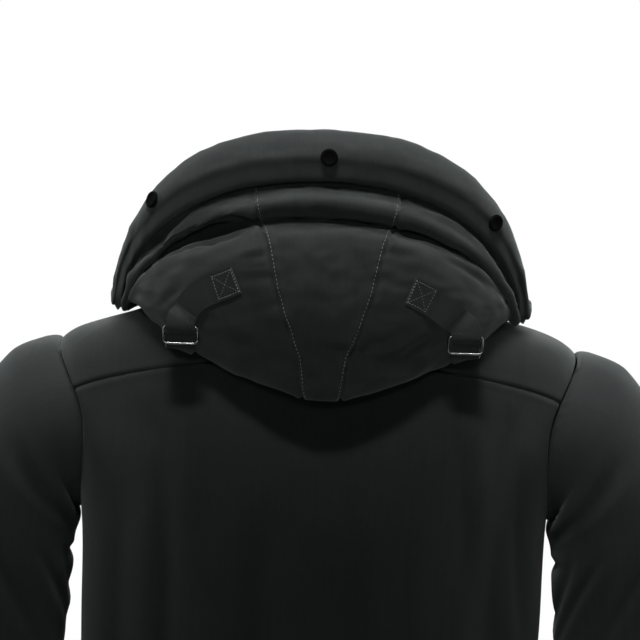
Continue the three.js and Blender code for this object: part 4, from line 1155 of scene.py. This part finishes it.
# %% The hood's creases
HOOD_CREASES = [  # start and end, right of and above the picture's middle, then bend, width, depth, ridge
    # the brim's pleats at its left end
    ((-167, 98), (-178, 16), -4, 2.4, 2.4, 0.7),
    ((-160, 101), (-170, 44), -4, 2.2, 1.9, 0.7),
    ((-177, 66), (-187, 8), -3, 2.4, 2.2, 0.7),
    ((-184, 60), (-190, 14), -2, 1.8, 1.4, 0.6),
    ((-150, 110), (-160, 72), -3, 2.6, 1.0, 0.5),
    ((-172, 40), (-180, 2), -2, 1.8, 1.6, 0.7),
    # and at its right end
    ((181, 50), (187, -8), 3, 2.2, 2.2, 0.7),
    ((177, 56), (182, 4), 3, 1.9, 1.7, 0.7),
    ((188, 52), (191, 0), 2, 2.0, 1.5, 0.6),
    ((172, 66), (177, 30), 2, 1.8, 1.0, 0.5),
    # the brim's crease, deeper towards both ends
    ((-176, 18), (-112, 103), 13, 3.0, 2.2, 0.2),
    ((124, 93), (181, 2), 11, 2.8, 2.0, 0.2),
    # soft unevenness along the brim
    ((60, 134), (130, 98), 5, 7.0, 1.0, 0.4),
    ((-90, 150), (8, 158), 4, 9.0, 1.2, 0.4),
    ((10, 148), (98, 140), 4, 8.0, 1.0, 0.4),
    ((-134, 120), (-66, 148), 7, 7.0, 1.0, 0.4),
    # the second roll
    ((-101, 89), (-55, 91), 2, 3.2, 2.4, 0.9),
    ((-62, 102), (62, 102), 3, 4.5, 0.9, 0.5),
    ((-160, 50), (-108, 97), 11, 3.2, 1.8, 0.6),
    ((70, 97), (158, 48), 11, 2.2, 1.5, 0.9),
    ((98, 88), (160, 42), 8, 2.4, 1.3, 0.6),
    # the deep crease under it
    ((-162, 56), (-66, 96), 12, 5.0, 8.0, 0.1),
    ((48, 88), (152, 48), 5, 5.0, 3.0, 0.15),
    ((-50, 84), (58, 86), 2, 5.0, 2.0, 0.1),
    ((-128, 60), (-121, 86), 0, 3.0, -1.6, 0.1),
    ((-155, 50), (-147, 70), 0, 2.6, -1.4, 0.1),
    # the bag's upper edge, which dips on the left and peaks at the middle
    ((-150, 62), (-62, 84), 5, 9.0, 9.0, 0.1),
    ((-48, 86), (20, 88), 3, 5.0, -1.6, 0.1),
    ((-106, 66), (-99, 82), 0, 3.4, 1.8, 0.5),
    ((-118, 66), (-111, 88), 0, 3.4, -1.5, 0.2),
    ((116, 57), (164, 23), 3, 3.2, 3.0, 0.8),
    ((150, 42), (179, 6), 2, 2.4, 1.8, 0.7),
    ((-74, 58), (-44, 65), -2, 2.4, 1.0, 0.6),
    ((-72, 48), (-40, 50), 1, 2.2, 0.9, 0.6),
    ((-70, 40), (-38, 43), -1, 2.0, 0.8, 0.6),
    ((55, 63), (94, 55), 2, 3.2, 0.9, 0.5),
    ((60, 33), (88, 31), -1, 2.6, 0.8, 0.5),
    ((-110, 34), (-88, 50), -3, 4.0, 0.8, 0.4),
    # the crease over the left strap
    ((-134, 10), (-119, 23), 1, 2.4, 1.5, 0.7),
    ((-150, 8), (-128, 30), 2, 3.0, 1.1, 0.6),
    # the bag's slack
    ((-66, 12), (-30, 19), -2, 4.0, 0.9, 0.4),
    ((-60, -6), (-22, -10), 3, 4.5, 1.0, 0.4),
    ((-20, -36), (48, -30), 4, 5.0, 1.2, 0.5),
    ((-26, 20), (36, 22), -3, 6.0, 0.7, 0.4),
    ((48, 10), (88, 2), 3, 5.0, 1.0, 0.4),
    ((44, -22), (86, -4), -4, 5.0, 1.0, 0.4),
    ((-16, -58), (6, -52), 2, 3.0, 0.9, 0.5),
    ((-90, -12), (-48, -44), 4, 5.0, 1.1, 0.5),
    ((60, -46), (104, -18), -4, 5.0, 1.1, 0.5),
]
HOOD_LUMPS = ((70, 0.8), (34, 1.4), (17, 1.4), (9, 0.5))
BRIM_LUMPS = 0.55  # the brim is stuffed tighter than the bag, so it is smoother


# %% Where relief may show


def seen_from_behind(panel):
    """1 where a panel's outer face shows from behind, fading at its turned edges and towards the front."""
    return smoothstep(panel.normals[..., 1], -0.05, 0.25) * smoothstep(panel.points[..., 1], 10, 45)


def room_over_body(panel):
    """1 where a panel stands clear of the shoulders, falling to 0 where it rests on them."""
    clearance = panel.points[..., 2] - body_height(panel.points[..., 0], panel.points[..., 1])
    return smoothstep(clearance, 1, 16)


# %% [markdown]
# A press stud's plate holds the padding flat, so the relief dies away round each of them. Their places are the
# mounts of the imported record.

# %% Make the hood
SEAM_TOPSTITCH = 3.4
HOOD_SEAM = {"depth": 2.2, "width": 1.6, "pucker": 0.3}
HOOD_CALM = 30
HOOD_SEED = 21.0
PLATE = {"relief": (6, 20), "padding": (5, 10), "press": 0.5, "rim": 9, "width": 3}  # round a stud, from its middle
STUDS = [(mount["name"].removeprefix("ruff_"), np.array(mount["pos_m"]) / MM, np.array(mount["axis"]))
         for mount in frame["record"]["mounts"] if mount["name"].startswith("ruff_")]


def make_hood():
    seams = []
    centre = hood_panel("hood_centre", CENTRE_SHARES[None] * HOOD_HALF[:, None], HOOD_ROWS)
    left, right_side, brim = hood_side_panel("left", 1), hood_side_panel("right", -1), brim_panel()
    for panel in (centre, left, right_side, brim):
        right, up = seen(panel.points)
        add_lumps(panel, HOOD_SEED, HOOD_LUMPS, stretch=0.6)
        if panel is brim:
            panel.height *= BRIM_LUMPS
        panel.height *= room_over_body(panel)
        add_creases(panel, right, up, HOOD_CREASES, mask=seen_from_behind(panel))
        for _, place, _ in STUDS:
            away = np.linalg.norm(panel.points - place, axis=-1)
            panel.height *= smoothstep(away, *PLATE["relief"])
            panel.height -= PLATE["press"] * hill((away - PLATE["rim"]) / PLATE["width"])
            panel.fullness = panel.fullness * smoothstep(away, *PLATE["padding"])
        panel.height += panel.fullness * room_over_body(panel)
    calm(left, "last", HOOD_CALM)
    calm(right_side, "first", HOOD_CALM)
    for edge in ("first", "last"):
        calm(brim, edge, HOOD_CALM)
        add_seam(centre, edge, **HOOD_SEAM)
        add_channel(centre, edge, SEAM_TOPSTITCH, depth=0.45, width=1.2, pucker=0.15)
        seams.append(centre.beside(edge, SEAM_TOPSTITCH, 0.1))
    add_seam(left, "first", **HOOD_SEAM)
    add_seam(right_side, "last", **HOOD_SEAM)
    for panel, edge in ((centre, "bottom"), (left, "bottom"), (right_side, "bottom"), (brim, "top")):
        add_seam(panel, edge, depth=2.2, width=3.2, pucker=0.25)
    add_channel(brim, "bottom", EDGE_STITCH, depth=0.6)
    cloths = [make_cloth(panel, SHELL_CLOTH) for panel in (centre, left, right_side, brim)]
    sew("hood_topstitches", seams, PALE_THREAD)
    sew("brim_edge_stitches", [brim.beside("bottom", EDGE_STITCH)])
    return cloths


hood_cloths = make_hood()

# %% [markdown]
# ## The adjusting straps
# Each strap is 25 mm webbing, sewn flat to the hood with a boxed cross of stitches, and looped through a wire ring
# at the hood's lower edge. It lies on the finished cloth wherever the cloth is, so its height is found with rays
# cast down at the hood. Webbing is stiff across, so each place takes the highest point under its whole width.

# %% Where the straps lie
WEBBING = {"width": 25, "thickness": 1.5, "lift": 0.25}
RING_WIRE = 1.3
OVER_RING = [(1.15, 1.2), (0.7, 1.8)]  # how high up the ring, and how far outside its upper bar
BEHIND_BAR = [(0.42, -2.4, 0), (0.11, 0, 0), (-0.2, 2.8, -55)]  # the same for its lower bar, and the webbing's lean
SLACK = 2.5
STRAPS = {  # places (x, z) where each shows, and how far round and along the hood its lower end is sewn
    "left": ([(72, -8), (83, -13), (95, -18), (106, -25), (114, -35)], (0.25, STATION["tip"] + 0.35)),
    "right": ([(-77, -13), (-88, -18), (-100, -25), (-111, -33), (-118.5, -37)], (-0.265, STATION["tip"] + 0.35)),
}


def hood_tree():
    vertices, faces = [], []
    for made in hood_cloths[:3]:
        start = len(vertices)
        vertices += [v.co / MM for v in made.data.vertices]
        faces += [[start + i for i in face.vertices] for face in made.data.polygons]
    return BVHTree.FromPolygons(vertices, faces)


HOOD_TREE = hood_tree()


def height_over(point, way, start=14.0):
    """How high the hood's cloth stands over a point, looking back along a way, or None off its edge."""
    hit = HOOD_TREE.ray_cast(Vector(point + way * start), Vector(-way), 2 * start)
    return None if hit[0] is None else start - hit[3]


def place_on_hood(x, z):
    """The smooth form's point and normal that show from behind at (x, z)."""
    rounds, stations = np.meshgrid(np.linspace(-0.4, 0.4, 321), np.linspace(STATION["tip"], STATION["bag_top"], 121))
    points = hood_point(rounds, stations)
    i = np.argmin(np.hypot(points[..., 0] - x, points[..., 2] - z))
    return points.reshape(-1, 3)[i], hood_normal(rounds, stations).reshape(-1, 3)[i]


# %% The straps' paths and panels


def strap_line(name):
    """The strap's path: its points, the ways its face looks, and how much of it lies on the hood."""
    shown, (root_round, root_at) = STRAPS[name]
    low, high = (np.array(corner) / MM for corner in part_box("ring_" + name))
    bar = np.array([(low[0] + high[0]) / 2, (low[1] + high[1]) / 2, low[2] + RING_WIRE])
    height, turn = high[2] - low[2], RING_WIRE + 0.6
    path = [place_on_hood(x, z) for x, z in shown]
    path += [(bar + [0, turn + clear, share * height], np.array([0, 1.0, 0])) for share, clear in OVER_RING]
    for share, clear, lean in BEHIND_BAR:
        way = np.array([0, math.cos(math.radians(lean)), math.sin(math.radians(lean))])
        path.append((bar + [0, -turn - WEBBING["thickness"] - clear, share * height], way))
    root, root_way = hood_point(root_round, root_at), hood_normal(root_round, root_at)
    path.append(((path[-1][0] + root) / 2 + root_way * SLACK, unit(path[-1][1] + root_way)))
    path.append((root + root_way * WEBBING["lift"], root_way))
    points, ways = (np.array(column) for column in zip(*path))
    at = np.linspace(0, len(path) - 1, 12 * (len(path) - 1) + 1)
    points = np.stack([between(points[:, k], at) for k in range(3)], -1)
    ways = unit(np.stack([between(ways[:, k], at) for k in range(3)], -1))
    return points, ways, int(12 * (len(shown) - 1))


def strap_panel(name):
    points, ways, on_hood = strap_line(name)
    tangents = unit(np.gradient(points, axis=0))
    across = unit(np.cross(tangents, ways))
    reach = np.linspace(-WEBBING["width"] / 2, WEBBING["width"] / 2, 13)
    lifts = np.zeros(len(points))
    for i in range(on_hood + 1):
        heights = [height_over(points[i] + across[i] * r, ways[i]) for r in reach]
        lifts[i] = max([h for h in heights if h is not None and abs(h) < 9] or [0])
    lifts[on_hood + 1:] = lifts[on_hood] * np.linspace(1, 0, 16)[np.minimum(np.arange(len(points) - on_hood - 1), 15)]
    lifts[:on_hood + 8] = np.convolve(np.pad(lifts, 3, mode="edge"), np.ones(7) / 7, "valid")[:on_hood + 8]
    points = points + ways * (lifts + WEBBING["lift"] + WEBBING["thickness"])[:, None]
    grid = points[:, None] + across[:, None] * reach[None, :, None]
    return Panel("strap_" + name, grid, np.broadcast_to(ways[:, None], grid.shape), outward=1)


# %% [markdown]
# The boxed cross is sewn in pale thread: a rectangle a little inside the webbing's edges, and its two diagonals.

# %% The boxed cross and the webbing
BOX_LENGTH = 24
BOX_INSET = 2.4
WEBBING_TWILL = cloth_material("black_webbing", (0.0090, 0.0100, 0.0100), (0.0240, 0.0260, 0.0255),
                               ribs=620, slant=0.0, bump_strength=0.6, roughness=0.72, sheen=0.12, streaks=1.8)


# %% A line of stitches on a strap


def sewn_line(panel, corners):
    """A stitched line through corners (across, down) on a strap's face."""
    down, width = panel.down[:, 0], panel.across[0, -1]
    places = []
    for (a0, d0), (a1, d1) in zip(corners, corners[1:]):
        steps = np.linspace(0, 1, max(3, int(math.hypot(a1 - a0, d1 - d0))))
        places += [(lerp(a0, a1, s), lerp(d0, d1, s)) for s in steps]
    across, along = np.array(places).T
    surface = panel.surface(0.05)
    first, last, ways = (np.stack([np.interp(along, down, grid[:, k]) for k in range(3)], -1)
                         for grid in (surface[:, 0], surface[:, -1], panel.normals[:, 0]))
    return lerp(first, last, (across / width)[:, None]), ways


# %% Sew the straps
for name in STRAPS:
    strap = strap_panel(name)
    strap.height -= 0.35 * hill((strap.down - BOX_LENGTH) / 1.6)
    make_cloth(strap, WEBBING_TWILL, thickness=WEBBING["thickness"])
    near, far = BOX_INSET, WEBBING["width"] - BOX_INSET
    start, end = 1.6, BOX_LENGTH - 1.6
    box = [(near, start), (far, start), (far, end), (near, end), (near, start)]
    sewn = {
        "box": ([sewn_line(strap, box), sewn_line(strap, [(near, start - 0.9), (far, start - 0.9)])], 0.55),
        "cross": ([sewn_line(strap, [box[0], box[2]]), sewn_line(strap, [box[1], box[3]])], 0.35),
    }
    for part, (lines, thread) in sewn.items():
        sew(f"strap_{name}_{part}", lines, PALE_THREAD, "webbing", Pitch=2.7 * MM, Length=2.1 * MM, Thread=thread * MM)

# %% [markdown]
# ## Rings and press studs
# A ring is one piece of bent and welded wire, so it is a round wire carried round a rounded rectangle. A press stud's
# cap is turned, with a rolled rim and a dished face: a profile spun round its axis.

# %% Hardware finishes
RING_STEEL = plain_material("nickelled_wire", (0.24, 0.25, 0.25), 0.22, metallic=1.0, grain=900, tone=0.12)
STUD_BLACK = plain_material("matt_black_lacquer", (0.0030, 0.0031, 0.0031), 0.85, grain=1500, tone=0.3,
                            specular=0.04)
ZIP_BLACK = plain_material("black_enamel", (0.012, 0.012, 0.0125), 0.34, metallic=0.3, grain=1200, tone=0.25)


# %% Rings and studs


def closed_grid_faces(rows, columns):
    """The quads of a grid whose rows and columns both close into rings."""
    index = np.arange(rows * columns).reshape(rows, columns)
    index = np.pad(index, ((0, 1), (0, 1)), mode="wrap")
    quads = np.stack([index[:-1, :-1], index[1:, :-1], index[1:, 1:], index[:-1, 1:]], -1)
    return quads.reshape(-1, 4).tolist()


def make_ring(name, corner=4.0, sides=16, steps=9):
    low, high = (np.array(c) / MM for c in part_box("ring_" + name))
    middle = (low + high) / 2
    half = (high - low) / 2 - RING_WIRE - corner
    centres, ways = [], []
    for k, (x, z) in enumerate(((1, -1), (1, 1), (-1, 1), (-1, -1))):
        for angle in np.radians(np.linspace(-90, 0, steps) + 90 * k):
            way = np.array([math.cos(angle), 0, math.sin(angle)])
            centres.append(middle + [x * half[0], 0, z * half[2]] + way * corner)
            ways.append(way)
    round_ = np.linspace(0, 2 * np.pi, sides, endpoint=False)
    ways, deep = np.array(ways)[:, None], np.array([0, 1.0, 0])
    grid = np.array(centres)[:, None] + RING_WIRE * (np.cos(round_)[:, None] * ways + np.sin(round_)[:, None] * deep)
    made = mesh_object(f"ring_{name}_wire", grid.reshape(-1, 3), closed_grid_faces(len(centres), sides), RING_STEEL)
    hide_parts("ring_" + name)
    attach(made, "garment")


STUD_PROFILE = [  # out from the axis and up from the cloth
    (7.0, 0.0), (7.35, 0.25), (7.5, 0.8), (7.5, 1.5), (7.35, 2.2), (7.0, 2.7), (6.4, 2.95), (5.7, 3.0),
    (5.0, 2.85), (4.2, 2.5), (3.4, 2.15), (2.6, 1.92), (1.6, 1.82),
]
STUD_DISH = 1.8


def make_stud(name, place, way, sides=48):
    lathe = bmesh.new()
    rings = []
    for reach, height in STUD_PROFILE:
        turned = [(reach * math.cos(a), reach * math.sin(a), height - STUD_DISH) for a in
                  np.linspace(0, 2 * np.pi, sides, endpoint=False)]
        rings.append([lathe.verts.new(p) for p in turned])
    for lower, upper in zip(rings, rings[1:]):
        for k in range(sides):
            lathe.faces.new((lower[k], lower[(k + 1) % sides], upper[(k + 1) % sides], upper[k]))
    lathe.faces.new(rings[-1])
    lathe.faces.new(rings[0][::-1])
    mesh = bpy.data.meshes.new(f"snap_{name}_cap")
    lathe.to_mesh(mesh)
    lathe.free()
    turn = Vector((0, 0, 1)).rotation_difference(Vector(way)).to_matrix().to_4x4()
    mesh.transform(Matrix.Scale(MM, 4) @ Matrix.Translation(Vector(place)) @ turn)
    mesh.materials.append(STUD_BLACK)
    mesh.shade_smooth()
    mesh.set_sharp_from_angle(angle=math.radians(50))
    made = put(mesh.name, mesh)
    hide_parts(name)
    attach(made, "garment")


for name in STRAPS:
    make_ring(name)
for name, place, way in STUDS:
    make_stud(name, place, way)
print(len(STUDS), "press studs")

# %% [markdown]
# ## The zip
# A moulded zip has two woven tapes, and teeth that bite from both sides in turn. The tapes run inside the front
# edges from the hem up to the hood. The teeth repeat, so Geometry Nodes set one pair of blocks on each point of
# the zip's middle line and turn every second tooth round to come from the other side.

# %% The tapes
ZIP_TOP = STATION["brim_top"] - 0.35
TAPE = {"width": 13, "split": 0.3, "thickness": 0.9, "depth": 4.1}


def hood_round_at(x, at):
    """How far round the hood's face stands x from the centre front."""
    return bisect(lambda round_: hood_point(round_, at)[..., 0] > x, np.full_like(at, 0.8), np.ones_like(at), 20)[0]


def zip_face(reach, depth):
    """The zip's line up the front at one reach from its middle, so deep under the cloth's face."""
    x = max(reach, ZIP_HALF_GAP)
    levels = np.concatenate([np.linspace(HEM_LEVEL, 2.2, 170), np.linspace(2.2, 0, 50)[1:]])
    turns = 180 - np.degrees(np.arcsin(x / between(BODY["front"], levels)))
    body = body_point(turns, levels) - body_normal(turns, levels) * depth
    stations = np.linspace(0.7, ZIP_TOP, 90)
    rounds = hood_round_at(x, stations)
    hood = hood_point(rounds, stations) - hood_normal(rounds, stations) * depth
    line = np.concatenate([body, hood])
    line[:, 0] = reach
    return line


def tape_panel(name, side):
    reaches = np.array([TAPE["split"], 2.5, ZIP_HALF_GAP, 9, TAPE["width"]])
    lines = [zip_face(reach, TAPE["depth"]) * [side, 1, 1] for reach in reaches]
    grid = np.stack(lines[::-side], 1)
    along, across = np.gradient(grid, axis=0), np.gradient(grid, axis=1)
    normals = unit(np.cross(along, across))
    outward = 1 if np.mean(normals[..., 1]) < 0 else -1
    return Panel("zip_tape_" + name, grid, normals * outward, outward=-outward)


for name, side in (("left", 1), ("right", -1)):
    make_cloth(tape_panel(name, side), WEBBING_TWILL, thickness=TAPE["thickness"])

# %% The teeth


def tooth_piece(w, reach, width, height):
    """A broad head on the zip's middle line and a narrower foot that runs back onto the tape."""
    head = w.node("GeometryNodeMeshCube", w.vector(width, w.times(reach, 0.45), height)).outputs[0]
    foot = w.node("GeometryNodeMeshCube", w.vector(w.times(width, 0.62), reach, w.times(height, 0.8))).outputs[0]
    both = w.node("GeometryNodeJoinGeometry")
    w.feed(head, both.inputs[0])
    w.feed(w.moved(foot, Translation=w.vector(0.0, w.times(reach, 0.6), 0.0)), both.inputs[0])
    return both.outputs[0]


TOOTH_ROW = row_tree("zip_teeth", {"Pitch": 0.0013, "Reach": 0.003, "Width": 0.0016, "Height": 0.0014},
                     tooth_piece, both_ways=True)
TOOTH_DEPTH = 3.0
slider_low = np.array(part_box("zip_slider")[0]) / MM
middle_line = zip_face(0.0, TOOTH_DEPTH)
ways = unit(np.cross(np.gradient(middle_line, axis=0), [1.0, 0, 0]))
ways *= -np.sign(ways[:, 1:2])
below_slider = middle_line[:, 2] < slider_low[2] + 2
grow_along("zip_teeth", [(middle_line[below_slider], ways[below_slider])], TOOTH_ROW,
           {"Pitch": 1.45 * MM, "Reach": 2.9 * MM, "Width": 1.7 * MM, "Height": 1.5 * MM, "Material": ZIP_BLACK})

# %% [markdown]
# The slider and its pull keep the shape of their solids, which are already made of the right parts. Their meshes are
# copied, merged and given small rounded edges, since a cast piece has no sharp ones.

# %% Slider and pull


def rounded_copy(node, name, width, body):
    """A copy of a CAD node with its edges rounded over."""
    source = bpy.data.objects[node]
    mesh = source.data.copy()
    mesh.transform(source.matrix_world)
    shape = bmesh.new()
    shape.from_mesh(mesh)
    bmesh.ops.remove_doubles(shape, verts=shape.verts, dist=2e-5)
    bmesh.ops.dissolve_limit(shape, angle_limit=math.radians(2), verts=shape.verts, edges=shape.edges)
    shape.to_mesh(mesh)
    shape.free()
    mesh.materials.clear()
    mesh.materials.append(ZIP_BLACK)
    made = put(name, mesh)
    bevel = made.modifiers.new("bevel", "BEVEL")
    bevel.width, bevel.segments, bevel.limit_method = width * MM, 2, "ANGLE"
    bevel.angle_limit = math.radians(35)
    plain = bpy.data.meshes.new_from_object(made.evaluated_get(bpy.context.evaluated_depsgraph_get()))
    made.modifiers.remove(bevel)
    made.data = plain
    plain.shade_smooth()
    plain.set_sharp_from_angle(angle=math.radians(40))
    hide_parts(node)
    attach(made, body)
    print(name, len(plain.polygons), "faces")


rounded_copy("zip_slider", "slider_body", 0.35, "garment")
rounded_copy("zip_pull", "pull_tab", 0.3, "pull")

# %% [markdown]
# ## Light and backdrop
# The photograph is a cut-out on white under a broad soft light straight above, with paler edges at both sides and
# very little from below, which leaves the bag's shadow almost black. A large overhead softbox, a narrow key aimed at
# the brim, two strips at the sides and a narrow fill beside the camera do the same, and one softbox lights the front.
# The white behind is seen by the camera alone, so that it doesn't flood the black cloth.

# %% Floor
FLOOR = {"height": -800, "radius": 2600, "corners": 96}
turns = np.linspace(0, 2 * np.pi, FLOOR["corners"], endpoint=False)
rim = np.stack([np.cos(turns) * FLOOR["radius"], np.sin(turns) * FLOOR["radius"],
                np.full_like(turns, FLOOR["height"])], -1)
pale_floor = plain_material("pale_floor", (0.62, 0.62, 0.61), 0.8, grain=120, tone=0.03)
floor = mesh_object("floor", rim, [range(FLOOR["corners"])], pale_floor)

# %% Lights and world
LIGHTS = [  # name, place, what it points at, width, height, watts, spread in degrees
    ("overhead", (0.0, 0.35, 1.45), (0, 0.1, 0.0), 1.1, 0.7, 6.4, 90),
    ("key", (0.15, 1.75, 1.75), (0, 0.1, 0.24), 0.9, 0.35, 1.3, 19),
    ("left_strip", (1.5, -0.25, 0.5), (0.15, 0.05, 0.0), 0.4, 1.2, 2.3, 100),
    ("right_strip", (-1.5, -0.25, 0.5), (-0.15, 0.05, 0.0), 0.4, 1.2, 2.3, 100),
    ("fill", (0.1, 2.9, 0.45), (0, 0.15, 0.12), 0.6, 0.35, 0.14, 12),
    ("front_fill", (0.0, -3.0, 1.6), (0, 0, -0.3), 2.0, 1.4, 20, 90),
]
for name, place, aim, width, height, watts, spread in LIGHTS:
    light = bpy.data.lights.new(name, "AREA")
    light.shape, light.size, light.size_y, light.energy = "RECTANGLE", width, height, watts
    light.spread = math.radians(spread)
    lamp = put(name, light)
    lamp.location = place
    lamp.rotation_euler = (Vector(aim) - Vector(place)).to_track_quat("-Z", "Y").to_euler()

WORLD_GLOW = 0.004
world = bpy.data.worlds.new("studio")
bpy.context.scene.world = world
world.use_nodes = True
w = Wiring(world.node_tree)
glow = world.node_tree.nodes["Background"]
glow.inputs["Color"].default_value = (1, 1, 1, 1)
glow.inputs["Strength"].default_value = WORLD_GLOW
white = w.node("ShaderNodeBackground", (1, 1, 1, 1), 1.0)
switch = w.node("ShaderNodeMixShader")
w.feed(w.node("ShaderNodeLightPath").outputs["Is Camera Ray"], switch.inputs[0])
w.feed(glow.outputs[0], switch.inputs[1])
w.feed(white.outputs[0], switch.inputs[2])
w.feed(switch.outputs[0], world.node_tree.nodes["World Output"].inputs["Surface"])
bpy.context.scene.view_settings.view_transform = "Standard"
print(len(LIGHTS), "lights")

# %% [markdown]
# ## Finish
# Each panel's width, length and area laid flat are worked out once more.

for panel, made in made_panels.values():
    width, length, area = panel.size()
